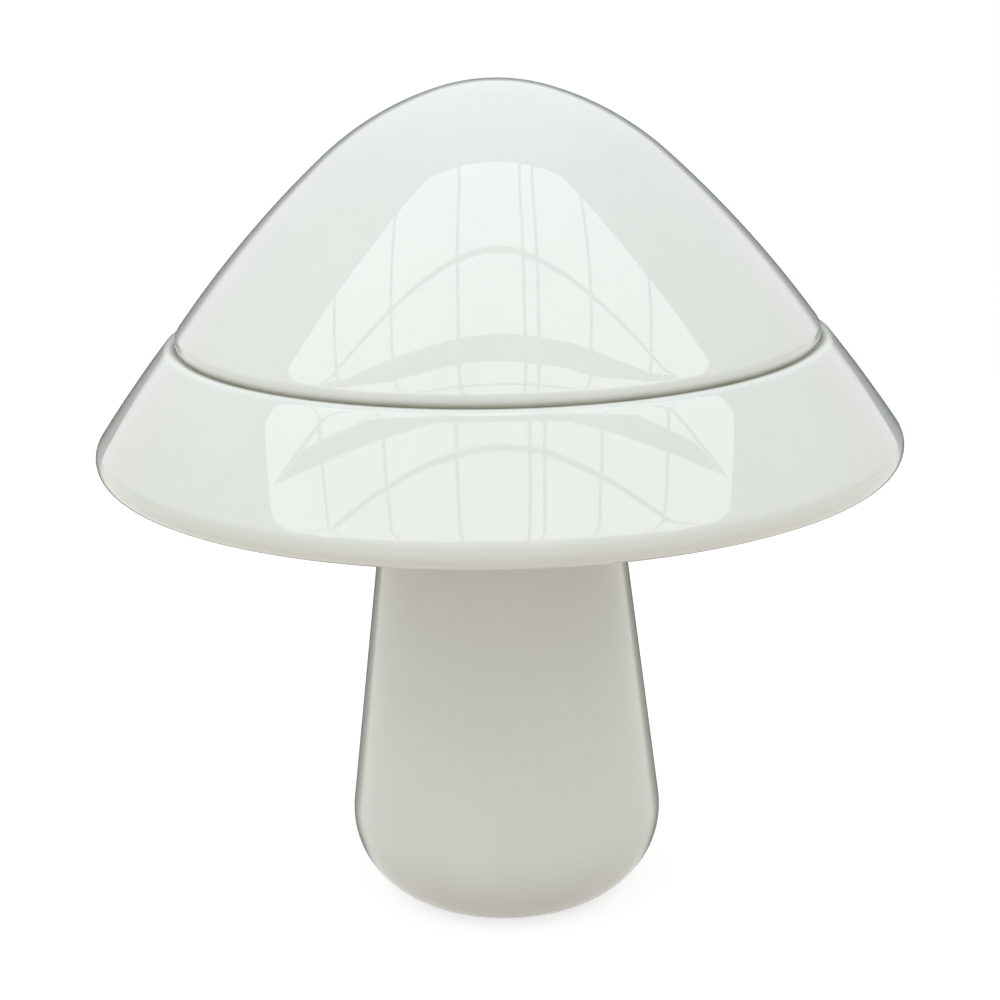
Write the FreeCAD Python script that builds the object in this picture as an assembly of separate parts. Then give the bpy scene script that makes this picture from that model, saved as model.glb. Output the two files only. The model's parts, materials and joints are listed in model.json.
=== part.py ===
import FreeCAD, Part
import math
import os

# A mushroom table lamp in white opal glass.  A two-tier blown shade rests on three
# steel arms above a hollow glass stem.  A threaded tube holds the stem between a
# bottom plate and the lampholder, and the shade lifts off to change the bulb.
# Millimetres, +Z up, +Y towards the back.  The origin is on the table under the axis.

# ---------------------------------------------------------------- driving dimensions

# Shade, outer form.  Heights are measured from its widest circle.
rim_radius = 150.0
rim_below_mouth = 9.0         # widest circle below the stem's mouth
crown_rise = 132.3            # top of the dome above the widest circle
crown_bend = 70.3             # radius of the arc over the top
crown_sweep = 16.9            # degrees from the axis to the end of that arc
shoulder_bend = 112.2
shoulder_sweep = 42.3
flank_bend = 410.0
dome_edge_radius = 118.05     # where the dome starts to roll under
dome_edge_round = 4.7
dome_edge_turn = -30.0        # direction of the normal where the roll ends, degrees
lip_step_out = 5.65           # start of the skirt's long curve outside the dome's edge
lip_step_down = 6.23          # and below it
lip_round = 3.8               # skirt's upper edge rolls in towards the groove
lip_turn = 120.0              # direction of the normal where that roll ends, degrees
groove_depth = 0.45
skirt_bow = 540.0             # the skirt is very slightly crowned
rim_round = 6.9
rim_turn = -125.0             # direction of the normal at the rolled-in end, degrees
shade_wall = 4.0
inner_rib_rise = 3.4          # inside, the wall bulges in behind the groove
inner_rib_up = 8.0            # how far the bulge reaches up behind the dome
inner_rib_down = 2.4          # and down behind the skirt

# Stem, outer form
glass_lift = 1.5              # the feet hold the glass this far off the table
foot_radius = 42.2
foot_round = 33.1
belly_radius = 60.1
stem_taper = 6.98             # degrees
neck_height = 190.0           # the stem's mouth above the table
stem_wall = 4.5
heel_floor = 4.5              # glass floor round the bottom opening
standing_width = 4.2          # flat ring of the heel
recess_depth = 8.0

# Bottom closure
bottom_gasket_thick = 1.5
bottom_gasket_width = 5.5
gasket_margin = 1.0           # gasket's inner edge outside the bottom opening
bottom_plate_thick = 1.5
plate_play = 1.5              # plate edge to the recess wall
pad_radius = 6.0
pad_margin = 2.5              # pad's edge inside the plate's edge
pad_chamfer = 0.8
pad_count = 4

# Threaded tube and its nuts
tube_radius = 5.0
tube_wall = 1.1
tube_hole_play = 0.3
tube_below_nut = 0.5
nut_across_flats = 14.0
nut_thick = 3.0
washer_radius = 10.0
washer_thick = 1.0
port_height = 61.0            # middle of the slot where the leads enter the tube
port_length = 26.0
port_width = 6.2
port_corner = 3.0             # the slot's ends are round

# Neck plate, gasket, arms
neck_gasket_thick = 1.5
neck_gasket_inset = 0.4       # inside both edges of the mouth
neck_plate_thick = 1.5
neck_plate_rim = 7.0          # depth of the turned-down rim
neck_plate_play = 1.0
arm_count = 3
arm_first_angle = 90.0        # one arm points to the back
arm_thick = 2.0
arm_width = 10.0
arm_tip_width = 7.0
arm_start_play = 1.4          # arm's foot outside the ring nut
arm_bend_inset = 1.5          # arm bends up inside the plate's edge
arm_bend_round = 3.0
arm_narrow_lead = 4.0           # the arm is at its narrow width this far before its soft cap
rivet_radius = 1.5
rivet_head_radius = 2.6
rivet_head_rise = 1.2
rivet_head_round = 0.96
rivet_edge = 0.8              # arm's foot to the rivet's head
rivet_spacing = 5.4
tip_cap_radius = 5.2
tip_cap_length = 11.0
tip_seat_drop = 7.0           # shade's seat below the start of the skirt's long curve
soft_gap = 0.3                # rest gap between curved faces of different bodies

# Lampholder, from the top down
holder_above_plate = 13.0
holder_thread_radius = 19.8
holder_bore_play = 1.25       # round the screw shell
holder_lower_bore = 17.3
insert_thick = 8.0
insert_play = 0.3
spigot_length = 6.0           # base inside the shell
base_height = 24.0
base_wall = 2.4
boss_wall = 3.4
boss_length = 10.0
tube_grip = 8.0               # tube screwed into the boss
holder_hole_play = 0.4
holder_chamfer = 1.0
boss_funnel = 1.0             # the boss opens by this much above the tube
ring_radius = 28.6
ring_thick = 6.0
ring_notches = 18
ring_notch_radius = 1.6
ring_notch_out = 0.64         # notch's middle outside the nut's edge
screw_shell_wall = 0.6
screw_shell_length = 22.5
contact_width = 6.0
contact_thick = 0.5
contact_foot_length = 8.0
contact_rise = 3.5            # bulb's tip above the insert
terminal_side = 6.0
terminal_length = 6.5
terminal_offset = 4.5
lock_screw_radius = 1.5
lock_screw_sunk = 0.2         # below the boss's surface
lock_slot_width = 0.6
lock_slot_depth = 1.0

# Bulb, standard 60 mm pear shape on a 27 mm screw cap
bulb_depth = 22.5             # bulb's tip below the lampholder's top
bulb_length = 108.0
bulb_radius = 30.0
bulb_neck_radius = 13.6
bulb_waist_bend = 40.0        # hollow curve between neck and ball
cap_crest_radius = 13.05
thread_depth = 0.85
cap_wall = 0.8
thread_pitch = 3.629
thread_first = 8.0            # first crest above the bulb's tip
thread_turns = 4
cap_length = 26.0
cap_collar = 1.0              # flared edge at the cap's top
insulator_inset = 2.2         # below the cap's root
insulator_top = 6.0
insulator_bottom = 1.2
tip_radius = 4.8

# Terminal block and leads
block_length = 14.0
block_height = 12.0
block_corner = 1.5
block_play = 2.0              # from the nut's corner
pole_play = 0.2               # sleeve to the fixing screw between the poles
sleeve_wall = 0.9
pole_height = 6.0
block_screw_radius = 1.0
clamp_screw_radius = 1.2
clamp_gap = 0.2               # screw's end above the sleeve's bore
lead_radius = 1.1
lead_play = 0.35              # in the sleeves and terminals
lead_grip = 3.0               # length held in the block and in the terminals
lead_loop = 12.0              # how far a lead stands out in front of the block
lead_loop_low = 25.0          # the loop turns up this far below the middle of the tube's slot
lead_offset_x = 1.4           # inside the tube the leads lie side by side
lead_offset_y = -1.5
bend_share = 0.45             # part of the shorter run that a bend takes

# Cord inlet at the back of the stem
inlet_bore = 3.5
inlet_sleeve = 5.2
inlet_hole_play = 0.2
inlet_flange_radius = 8.5
inlet_flange_thick = 2.2
inlet_gasket_thick = 1.2
inlet_gasket_drape = 4.0      # its skirt follows the glass down at the sides
inlet_nut_across_flats = 15.0
inlet_nut_thick = 4.0
inlet_nut_gap = 0.05
inlet_end_past_nut = 1.5

# ---------------------------------------------------------------- drawing helpers

AXIS = FreeCAD.Vector(0, 0, 1)
BACK = FreeCAD.Vector(0, 1, 0)
ORIGIN = FreeCAD.Vector(0, 0, 0)


def polar(centre, radius, degrees):
    """Point at a distance and direction from a centre, in the r-z plane."""
    angle = math.radians(degrees)
    return (centre[0] + radius * math.cos(angle), centre[1] + radius * math.sin(angle))


class Outline:
    """A closed outline in the r-z half plane, turned round the lamp's axis."""

    def __init__(self, r, z):
        self.start = (r, z)
        self.here = (r, z)
        self.edges = []

    def vector(self, point):
        return FreeCAD.Vector(point[0], 0, point[1])

    def line(self, r, z):
        if math.dist(self.here, (r, z)) > 1e-7:
            edge = Part.LineSegment(self.vector(self.here), self.vector((r, z)))
            self.edges.append(edge.toShape())
            self.here = (r, z)
        return self

    def through(self, middle, end):
        edge = Part.Arc(self.vector(self.here), self.vector(middle), self.vector(end))
        self.edges.append(edge.toShape())
        self.here = end
        return self

    def swing(self, centre, radius, start, end):
        """Arc about a centre between two directions in degrees; starts with a line if needed."""
        self.line(*polar(centre, radius, start))
        return self.through(polar(centre, radius, (start + end) / 2), polar(centre, radius, end))

    def face(self):
        self.line(*self.start)
        return Part.Face(Part.Wire(self.edges))

    def turned(self):
        return self.face().revolve(ORIGIN, AXIS, 360)


def ring(inner, outer, bottom, top):
    """Flat ring or short tube round the lamp's axis."""
    solid = Part.makeCylinder(outer, top - bottom, FreeCAD.Vector(0, 0, bottom))
    if inner > 0:
        solid = solid.cut(Part.makeCylinder(inner, top - bottom, FreeCAD.Vector(0, 0, bottom)))
    return solid


def bar(radius, x, y, bottom, top):
    """Upright round bar."""
    return Part.makeCylinder(radius, top - bottom, FreeCAD.Vector(x, y, bottom))


def block(size, low):
    """Box from its size and its lowest corner."""
    return Part.makeBox(size[0], size[1], size[2], FreeCAD.Vector(*low))


def hexagon(across_flats, bottom, top):
    """Upright hexagonal prism on the lamp's axis."""
    corner = across_flats / math.sqrt(3)
    points = [FreeCAD.Vector(corner * math.cos(math.radians(60 * i)),
                             corner * math.sin(math.radians(60 * i)), bottom) for i in range(7)]
    return Part.Face(Part.makePolygon(points)).extrude(FreeCAD.Vector(0, 0, top - bottom))


def around(solid, count, first=0.0):
    """Copies of a solid spread evenly round the lamp's axis."""
    copies = []
    for index in range(count):
        copy = solid.copy()
        copy.rotate(ORIGIN, AXIS, first + index * 360.0 / count)
        copies.append(copy)
    return copies


def write(name, solids):
    """One file for each named piece; a group of like pieces is a compound."""
    shape = solids[0] if len(solids) == 1 else Part.makeCompound(solids)
    shape.exportStep("parts/" + name + ".step")


# ---------------------------------------------------------------- shared shade form

rim_height = neck_height - rim_below_mouth
RIM_CENTRE = (rim_radius - rim_round, rim_height)
CROWN_CENTRE = (0.0, rim_height + crown_rise - crown_bend)
crown_end = 90.0 - crown_sweep
shoulder_end = 90.0 - shoulder_sweep
SHOULDER_CENTRE = polar(CROWN_CENTRE, crown_bend - shoulder_bend, crown_end)
FLANK_CENTRE = polar(SHOULDER_CENTRE, shoulder_bend - flank_bend, shoulder_end)
flank_end = math.degrees(math.acos((dome_edge_radius - FLANK_CENTRE[0]) / flank_bend))
DOME_EDGE = polar(FLANK_CENTRE, flank_bend, flank_end)
LIP = (DOME_EDGE[0] + lip_step_out, DOME_EDGE[1] - lip_step_down)


def skirt_direction():
    """Direction of the normal where the skirt's shallow arc runs tangent into the rim's roll."""
    across = LIP[0] - RIM_CENTRE[0]
    up = LIP[1] - RIM_CENTRE[1]
    reach = math.hypot(across, up)
    shift = rim_round - skirt_bow
    along = (reach ** 2 + shift ** 2 - skirt_bow ** 2) / (2 * shift)
    return math.degrees(math.atan2(up, across) - math.acos(along / reach))


skirt_start = skirt_direction()
SKIRT_CENTRE = polar(RIM_CENTRE, rim_round - skirt_bow, skirt_start)
skirt_end = math.degrees(math.atan2(LIP[1] - SKIRT_CENTRE[1], LIP[0] - SKIRT_CENTRE[0]))


def skirt_inside(height):
    """Radius of the skirt's inner face at a height."""
    inner = skirt_bow - shade_wall
    return SKIRT_CENTRE[0] + math.sqrt(inner ** 2 - (height - SKIRT_CENTRE[1]) ** 2)


# Seat of the shade on the rounded ends of the three arms
SEAT = (skirt_inside(LIP[1] - tip_seat_drop), LIP[1] - tip_seat_drop)
seat_normal = math.degrees(math.atan2(SEAT[1] - SKIRT_CENTRE[1], SEAT[0] - SKIRT_CENTRE[0]))
TIP_CENTRE = polar(SEAT, -(tip_cap_radius + soft_gap), seat_normal)

# ---------------------------------------------------------------- shared stem form

belly_reach = belly_radius - foot_round
foot_angle = -math.degrees(math.acos((foot_radius - belly_reach) / foot_round))
BELLY = (belly_reach, glass_lift - foot_round * math.sin(math.radians(foot_angle)))
taper_slope = math.tan(math.radians(stem_taper))


def stem_outside(height, inset=0.0):
    """Radius of the stem's tapered part at a height, moved in by a wall thickness."""
    start = polar(BELLY, foot_round - inset, stem_taper)
    return start[0] - (height - start[1]) * taper_slope


recess_radius = foot_radius - standing_width
plate_radius = recess_radius - plate_play
opening_radius = plate_radius - bottom_gasket_width - gasket_margin
recess_top = glass_lift + recess_depth
floor_top = recess_top + heel_floor
plate_top = recess_top - bottom_gasket_thick
plate_bottom = plate_top - bottom_plate_thick
neck_plate_bottom = neck_height + neck_gasket_thick
neck_plate_top = neck_plate_bottom + neck_plate_thick

# Lampholder and bulb, stacked down from the holder's top
cap_core_radius = cap_crest_radius - thread_depth
screw_shell_radius = cap_crest_radius + soft_gap
holder_bore = screw_shell_radius + screw_shell_wall + holder_bore_play
holder_top = neck_plate_top + holder_above_plate
bulb_tip_height = holder_top - bulb_depth
contact_top = bulb_tip_height - soft_gap
insert_top = bulb_tip_height - contact_rise
insert_bottom = insert_top - insert_thick
holder_joint_height = insert_bottom - spigot_length
base_bottom = holder_joint_height - base_height
boss_radius = tube_radius + boss_wall
lock_screw_length = boss_wall - lock_screw_sunk

# Tube, arms, terminal block
tube_bore = tube_radius - tube_wall
tube_top = base_bottom + tube_grip
tube_bottom = plate_bottom - washer_thick - nut_thick - tube_below_nut
neck_rim_bottom = neck_plate_top - neck_plate_rim
neck_rim_inside = stem_outside(neck_rim_bottom) + neck_plate_play
arm_foot_start = ring_radius + arm_start_play
arm_foot_end = neck_rim_inside + neck_plate_thick - arm_bend_inset
rivet_pitch_radius = arm_foot_start + rivet_head_radius + rivet_edge
lead_bore = lead_radius + lead_play
sleeve_radius = lead_bore + sleeve_wall
pole_pitch = 2 * (sleeve_radius + block_screw_radius + pole_play)
block_width = 2 * pole_pitch
block_centre_x = -(nut_across_flats / math.sqrt(3) + block_play + block_width / 2)
pole_z = plate_top + pole_height


def inlet_nut_seat():
    """How far back a hexagonal nut can go before its corners meet the stem's inner face."""
    inner = foot_round - stem_wall
    corner = inlet_nut_across_flats / math.sqrt(3)
    flat = inlet_nut_across_flats / 2
    side_corner = math.sqrt((belly_reach + inner) ** 2 - corner ** 2)
    low_radius = belly_reach + math.sqrt(inner ** 2 - flat ** 2)
    low_corner = math.sqrt(low_radius ** 2 - (corner / 2) ** 2)
    return min(side_corner, low_corner)


inlet_outer_face = belly_radius + inlet_gasket_thick
inlet_nut_face = inlet_nut_seat() - inlet_nut_gap
inlet_inner_end = inlet_nut_face - inlet_nut_thick - inlet_end_past_nut


# ---------------------------------------------------------------- glass

def shade_glass():
    """Dome, rolled edge, groove, skirt and rolled-in rim as one wall of even thickness."""
    roll_centre = polar(DOME_EDGE, -dome_edge_round, flank_end)
    roll_end = polar(roll_centre, dome_edge_round, dome_edge_turn)
    lip_centre = polar(LIP, -lip_round, skirt_end)
    lip_start = polar(lip_centre, lip_round, lip_turn)
    chord = math.degrees(math.atan2(lip_start[1] - roll_end[1], lip_start[0] - roll_end[0]))
    chord_middle = ((roll_end[0] + lip_start[0]) / 2, (roll_end[1] + lip_start[1]) / 2)
    groove_bottom = polar(chord_middle, groove_depth, chord - 90)

    flank_inner = flank_bend - shade_wall
    skirt_inner = skirt_bow - shade_wall
    rib_top_angle = flank_end + math.degrees(inner_rib_up / flank_inner)
    rib_low_angle = skirt_end - math.degrees(inner_rib_down / skirt_inner)
    rib_top = polar(FLANK_CENTRE, flank_inner, rib_top_angle)
    rib_low = polar(SKIRT_CENTRE, skirt_inner, rib_low_angle)
    rib_middle = ((rib_top[0] + rib_low[0]) / 2, (rib_top[1] + rib_low[1]) / 2)
    rib_crest = polar(rib_middle, -inner_rib_rise, (rib_top_angle + rib_low_angle) / 2)

    end_centre = polar(RIM_CENTRE, rim_round - shade_wall / 2, rim_turn)
    end_crest = polar(end_centre, shade_wall / 2, rim_turn - 90)

    top = CROWN_CENTRE[1] + crown_bend
    outline = Outline(0.0, top)
    outline.swing(CROWN_CENTRE, crown_bend, 90, crown_end)
    outline.swing(SHOULDER_CENTRE, shoulder_bend, crown_end, shoulder_end)
    outline.swing(FLANK_CENTRE, flank_bend, shoulder_end, flank_end)
    outline.swing(roll_centre, dome_edge_round, flank_end, dome_edge_turn)
    outline.through(groove_bottom, lip_start)
    outline.swing(lip_centre, lip_round, lip_turn, skirt_end)
    outline.swing(SKIRT_CENTRE, skirt_bow, skirt_end, skirt_start)
    outline.swing(RIM_CENTRE, rim_round, skirt_start, rim_turn)
    outline.through(end_crest, polar(RIM_CENTRE, rim_round - shade_wall, rim_turn))
    outline.swing(RIM_CENTRE, rim_round - shade_wall, rim_turn, skirt_start)
    outline.swing(SKIRT_CENTRE, skirt_inner, skirt_start, rib_low_angle)
    outline.through(rib_crest, rib_top)
    outline.swing(FLANK_CENTRE, flank_inner, rib_top_angle, shoulder_end)
    outline.swing(SHOULDER_CENTRE, shoulder_bend - shade_wall, shoulder_end, crown_end)
    outline.swing(CROWN_CENTRE, crown_bend - shade_wall, crown_end, 90)
    return [outline.turned()]


def stem_glass():
    """Hollow tapered stem with a recessed heel, a bottom opening and a drilled cord hole."""
    inner = foot_round - stem_wall
    floor_angle = -math.degrees(math.asin((BELLY[1] - floor_top) / inner))
    outline = Outline(recess_radius, glass_lift)
    outline.line(foot_radius, glass_lift)
    outline.swing(BELLY, foot_round, foot_angle, stem_taper)
    outline.line(stem_outside(neck_height), neck_height)
    outline.line(stem_outside(neck_height, stem_wall), neck_height)
    outline.swing(BELLY, inner, stem_taper, floor_angle)
    outline.line(opening_radius, floor_top)
    outline.line(opening_radius, recess_top)
    outline.line(recess_radius, recess_top)
    glass = outline.turned()
    hole = Part.makeCylinder(inlet_sleeve + inlet_hole_play, belly_radius,
                             FreeCAD.Vector(0, 0, BELLY[1]), BACK)
    return [glass.cut(hole)]


# ---------------------------------------------------------------- bottom closure

def bottom_gasket():
    return [ring(plate_radius - bottom_gasket_width, plate_radius, plate_top, recess_top)]


def bottom_plate():
    plate = ring(tube_radius + tube_hole_play, plate_radius, plate_bottom, plate_top)
    return [plate.cut(bar(block_screw_radius, block_centre_x, 0, plate_bottom, plate_top))]


def foot_pads():
    """Soft round feet under the bottom plate; the lamp stands on them."""
    pad = bar(pad_radius, plate_radius - pad_margin - pad_radius, 0, 0, plate_bottom)
    pad = pad.makeChamfer(pad_chamfer, [edge for edge in pad.Edges if edge.BoundBox.ZMax < 0.1])
    return around(pad, pad_count, 180.0 / pad_count)


# ---------------------------------------------------------------- tube and nuts

def lamp_tube():
    """Threaded tube with a slot near its foot, where the leads go in."""
    tube = ring(tube_bore, tube_radius, tube_bottom, tube_top)
    slot_low = (-port_width / 2, -2 * tube_radius, port_height - port_length / 2)
    slot = block((port_width, 2 * tube_radius, port_length), slot_low)
    rounded = [edge for edge in slot.Edges if abs(edge.BoundBox.YLength - 2 * tube_radius) < 0.01]
    return [tube.cut(slot.makeFillet(port_corner, rounded))]


def tube_nuts():
    """One under the bottom plate, one on it and one locking the lampholder."""
    starts = [plate_bottom - washer_thick - nut_thick, plate_top, base_bottom - nut_thick]
    nuts = []
    for start in starts:
        nut = hexagon(nut_across_flats, start, start + nut_thick)
        nuts.append(nut.cut(ring(0, tube_radius, start, start + nut_thick)))
    return nuts


def tube_washer():
    return [ring(tube_radius + tube_hole_play, washer_radius, plate_bottom - washer_thick, plate_bottom)]


# ---------------------------------------------------------------- neck plate and arms

def neck_gasket():
    inner = stem_outside(neck_height, stem_wall) + neck_gasket_inset
    outer = stem_outside(neck_height) - neck_gasket_inset
    return [ring(inner, outer, neck_height, neck_plate_bottom)]


def neck_plate():
    """Pressed disc on the stem's mouth; its rim turns down round the glass."""
    outer = neck_rim_inside + neck_plate_thick
    hole = holder_thread_radius + holder_hole_play
    outline = Outline(hole, neck_plate_bottom)
    outline.line(neck_rim_inside, neck_plate_bottom)
    outline.line(neck_rim_inside, neck_rim_bottom)
    outline.line(outer, neck_rim_bottom)
    outline.swing((neck_rim_inside, neck_plate_bottom), neck_plate_thick, 0, 90)
    outline.line(hole, neck_plate_top)
    plate = outline.turned()
    for x, y in rivet_places():
        plate = plate.cut(bar(rivet_radius, x, y, neck_plate_bottom, neck_plate_top))
    return [plate]


def rivet_places():
    """Two rivets side by side at the foot of each arm."""
    places = []
    for index in range(arm_count):
        angle = math.radians(arm_first_angle + index * 360.0 / arm_count)
        for side in (-rivet_spacing / 2, rivet_spacing / 2):
            x = rivet_pitch_radius * math.cos(angle) - side * math.sin(angle)
            y = rivet_pitch_radius * math.sin(angle) + side * math.cos(angle)
            places.append((x, y))
    return places


def arm_slope():
    """Direction of the arm's rising part, in degrees above level."""
    foot_middle = neck_plate_top + arm_thick / 2
    return math.degrees(math.atan2(TIP_CENTRE[1] - foot_middle, TIP_CENTRE[0] - arm_foot_end))


def arm_strip(tip_reach):
    """Bent strip along +X, with its middle line from the plate to the seat."""
    slope = arm_slope()
    middle = neck_plate_top + arm_thick / 2
    half = arm_thick / 2
    knee = half * math.tan(math.radians(slope / 2))
    end = polar(TIP_CENTRE, tip_reach, slope)
    low_end = polar(end, half, slope - 90)
    high_end = polar(end, half, slope + 90)
    outline = Outline(arm_foot_start, middle - half)
    outline.line(arm_foot_end + knee, middle - half)
    outline.line(*low_end)
    outline.line(*high_end)
    outline.line(arm_foot_end - knee, middle + half)
    outline.line(arm_foot_start, middle + half)
    face = outline.face()
    strip = face.extrude(FreeCAD.Vector(0, arm_width, 0))
    strip.translate(FreeCAD.Vector(0, -arm_width / 2, 0))
    bends = [edge for edge in strip.Edges
             if abs(edge.BoundBox.XMin - arm_foot_end) < arm_thick and edge.BoundBox.XLength < 0.01]
    return strip.makeFillet(arm_bend_round, bends)


def arm_taper():
    """Plan view of the arm: full width at the foot, narrower inside the soft cap."""
    narrow_start = TIP_CENTRE[0] - tip_cap_length - arm_narrow_lead
    far = TIP_CENTRE[0] + tip_cap_radius
    half_plan = [(arm_foot_start, arm_width / 2), (arm_foot_end, arm_width / 2),
                 (narrow_start, arm_tip_width / 2), (far, arm_tip_width / 2)]
    plan = half_plan + [(x, -y) for x, y in reversed(half_plan)]
    points = [FreeCAD.Vector(x, y, neck_plate_bottom) for x, y in plan + plan[:1]]
    return Part.Face(Part.makePolygon(points)).extrude(FreeCAD.Vector(0, 0, rim_radius))


def rivets(radius, bottom, top):
    return [bar(radius, x, y, bottom, top) for x, y in rivet_places()]


def carrier_arms():
    arms = around(arm_strip(0.0).common(arm_taper()), arm_count, arm_first_angle)
    holes = rivets(rivet_radius, neck_plate_top, neck_plate_top + arm_thick)
    return [arm.cut(Part.makeCompound(holes)) for arm in arms]


def arm_rivets():
    """Shanks through plate and arm, flush below, with a low round head above."""
    high = neck_plate_top + arm_thick
    shanks = rivets(rivet_radius, neck_plate_bottom, high)
    heads = rivets(rivet_head_radius, high, high + rivet_head_rise)
    whole = []
    for shank, head in zip(shanks, heads):
        rivet = shank.fuse(head)
        crown = [edge for edge in rivet.Edges if edge.BoundBox.ZMin > high + rivet_head_rise / 2]
        whole.append(rivet.makeFillet(rivet_head_round, crown))
    return whole


def arm_tip_caps():
    """Soft bullet-shaped caps on the arms' ends; the shade rests on their round noses."""
    slope = arm_slope()
    back = polar(TIP_CENTRE, -tip_cap_length, slope)
    direction = FreeCAD.Vector(math.cos(math.radians(slope)), 0, math.sin(math.radians(slope)))
    start = FreeCAD.Vector(back[0], 0, back[1])
    sleeve = Part.makeCylinder(tip_cap_radius, tip_cap_length, start, direction)
    nose = Part.makeSphere(tip_cap_radius, FreeCAD.Vector(TIP_CENTRE[0], 0, TIP_CENTRE[1]))
    cap = sleeve.fuse(nose).removeSplitter()
    cap = cap.cut(arm_strip(0.0).common(arm_taper()))
    return around(cap, arm_count, arm_first_angle)


# ---------------------------------------------------------------- lampholder

def holder_base():
    """Cup with a threaded boss below and a spigot that fits in the shell."""
    boss_top = base_bottom + boss_length
    spigot = holder_lower_bore - insert_play / 2
    outline = Outline(tube_radius, base_bottom)
    outline.line(boss_radius, base_bottom)
    outline.line(boss_radius, boss_top)
    outline.line(holder_thread_radius, boss_top + holder_thread_radius - boss_radius)
    outline.line(holder_thread_radius, holder_joint_height)
    outline.line(spigot, holder_joint_height)
    outline.line(spigot, insert_bottom)
    outline.line(spigot - base_wall, insert_bottom)
    outline.line(spigot - base_wall, boss_top + holder_thread_radius - boss_radius)
    outline.line(tube_radius + boss_funnel, boss_top)
    outline.line(tube_radius, tube_top)
    base = outline.turned()
    return [base.cut(lock_screw_solid(lock_screw_length + boss_radius))]


def lock_screw_solid(length):
    """Radial bar at the front of the boss, from the tube's wall outwards."""
    place = FreeCAD.Vector(0, -tube_radius, base_bottom + tube_grip / 2)
    return Part.makeCylinder(lock_screw_radius, length, place, BACK * -1)


def holder_lock_screw():
    """Grub screw that stops the lampholder from turning on its tube."""
    screw = lock_screw_solid(lock_screw_length)
    slot_low = (-lock_screw_radius, -tube_radius - lock_screw_length,
                base_bottom + tube_grip / 2 - lock_slot_width / 2)
    return [screw.cut(block((2 * lock_screw_radius, lock_slot_depth, lock_slot_width), slot_low))]


def holder_shell():
    """Outer body; its upper outside is threaded for the ring nut."""
    outline = Outline(holder_lower_bore, holder_joint_height)
    outline.line(holder_thread_radius, holder_joint_height)
    outline.line(holder_thread_radius, holder_top - holder_chamfer)
    outline.line(holder_thread_radius - holder_chamfer, holder_top)
    outline.line(holder_bore, holder_top)
    outline.line(holder_bore, insert_top)
    outline.line(holder_lower_bore, insert_top)
    return [outline.turned()]


def holder_ring_nut():
    """Ring nut that clamps the neck plate; notched for the fingers."""
    nut = ring(holder_thread_radius, ring_radius, neck_plate_top, neck_plate_top + ring_thick)
    notch = bar(ring_notch_radius, ring_radius + ring_notch_out, 0,
                neck_plate_top, neck_plate_top + ring_thick)
    return [nut.cut(Part.makeCompound(around(notch, ring_notches)))]


def holder_insert():
    """Ceramic disc that carries the contacts."""
    return [ring(0, holder_lower_bore - insert_play, insert_bottom, insert_top)]


def screw_shell():
    return [ring(screw_shell_radius, screw_shell_radius + screw_shell_wall,
                 insert_top, insert_top + screw_shell_length)]


def centre_contact():
    """Bent spring tongue under the bulb's tip."""
    foot_end = -contact_foot_length
    outline = Outline(foot_end, insert_top)
    outline.line(0, insert_top)
    outline.line(0, insert_top + contact_thick)
    outline.line(foot_end + contact_thick, insert_top + contact_thick)
    outline.line(-tip_radius / 2, contact_top - contact_thick)
    outline.line(tip_radius / 2, contact_top - contact_thick)
    outline.line(tip_radius / 2, contact_top)
    outline.line(-tip_radius / 2 - contact_thick / 2, contact_top)
    outline.line(foot_end, insert_top + contact_thick)
    tongue = outline.face().extrude(FreeCAD.Vector(0, contact_width, 0))
    tongue.translate(FreeCAD.Vector(0, -contact_width / 2, 0))
    return [tongue]


def holder_terminals():
    """Two brass blocks under the insert, each with a hole for a lead."""
    terminals = []
    for side in (-1, 1):
        bottom = insert_bottom - terminal_length
        low = (side * terminal_offset - terminal_side / 2, -terminal_side / 2, bottom)
        body = block((terminal_side, terminal_side, terminal_length), low)
        hole = bar(lead_bore, side * terminal_offset, 0, bottom, insert_bottom - terminal_length / 4)
        terminals.append(body.cut(hole))
    return terminals


# ---------------------------------------------------------------- bulb

def bulb_glass():
    """Pear-shaped envelope: neck, hollow curve, ball."""
    ball_height = bulb_tip_height + bulb_length - bulb_radius
    neck_bottom = bulb_tip_height + cap_length
    # the hollow curve starts upright at the neck and runs tangent into the ball
    waist_x = bulb_neck_radius + bulb_waist_bend
    waist_z = ball_height - math.sqrt((bulb_waist_bend + bulb_radius) ** 2 - waist_x ** 2)
    join = math.degrees(math.atan2(waist_z - ball_height, waist_x))
    outline = Outline(0.0, neck_bottom)
    outline.line(bulb_neck_radius, neck_bottom)
    outline.line(bulb_neck_radius, waist_z)
    outline.swing((waist_x, waist_z), bulb_waist_bend, 180, 180 + join)
    outline.swing((0.0, ball_height), bulb_radius, join, 90)
    return [outline.turned()]


def thread_height(turn):
    return bulb_tip_height + thread_first + turn * thread_pitch


def bulb_cap():
    """Thin metal cap with a rolled thread, closed above where the glass is cemented in."""
    top = bulb_tip_height + cap_length
    bottom = bulb_tip_height + insulator_top
    quarter = thread_pitch / 4
    outline = Outline(cap_core_radius - cap_wall, bottom)
    outline.line(cap_core_radius, bottom)
    for turn in range(thread_turns):
        height = thread_height(turn)
        outline.line(cap_core_radius, height - quarter)
        outline.through((cap_crest_radius, height), (cap_core_radius, height + quarter))
    outline.line(cap_core_radius, top - 2 * cap_collar)
    outline.line(cap_crest_radius, top - cap_collar)
    outline.line(cap_crest_radius, top)
    outline.line(cap_core_radius - cap_wall, top)
    return [outline.turned()]


def bulb_insulator():
    """Dark glass cone between the cap and the tip contact."""
    low = bulb_tip_height + insulator_bottom
    high = bulb_tip_height + insulator_top
    outline = Outline(0.0, low)
    outline.line(tip_radius, low)
    outline.line(cap_core_radius - insulator_inset, high - insulator_inset / 2)
    outline.line(cap_core_radius, high)
    outline.line(0.0, high)
    return [outline.turned()]


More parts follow.
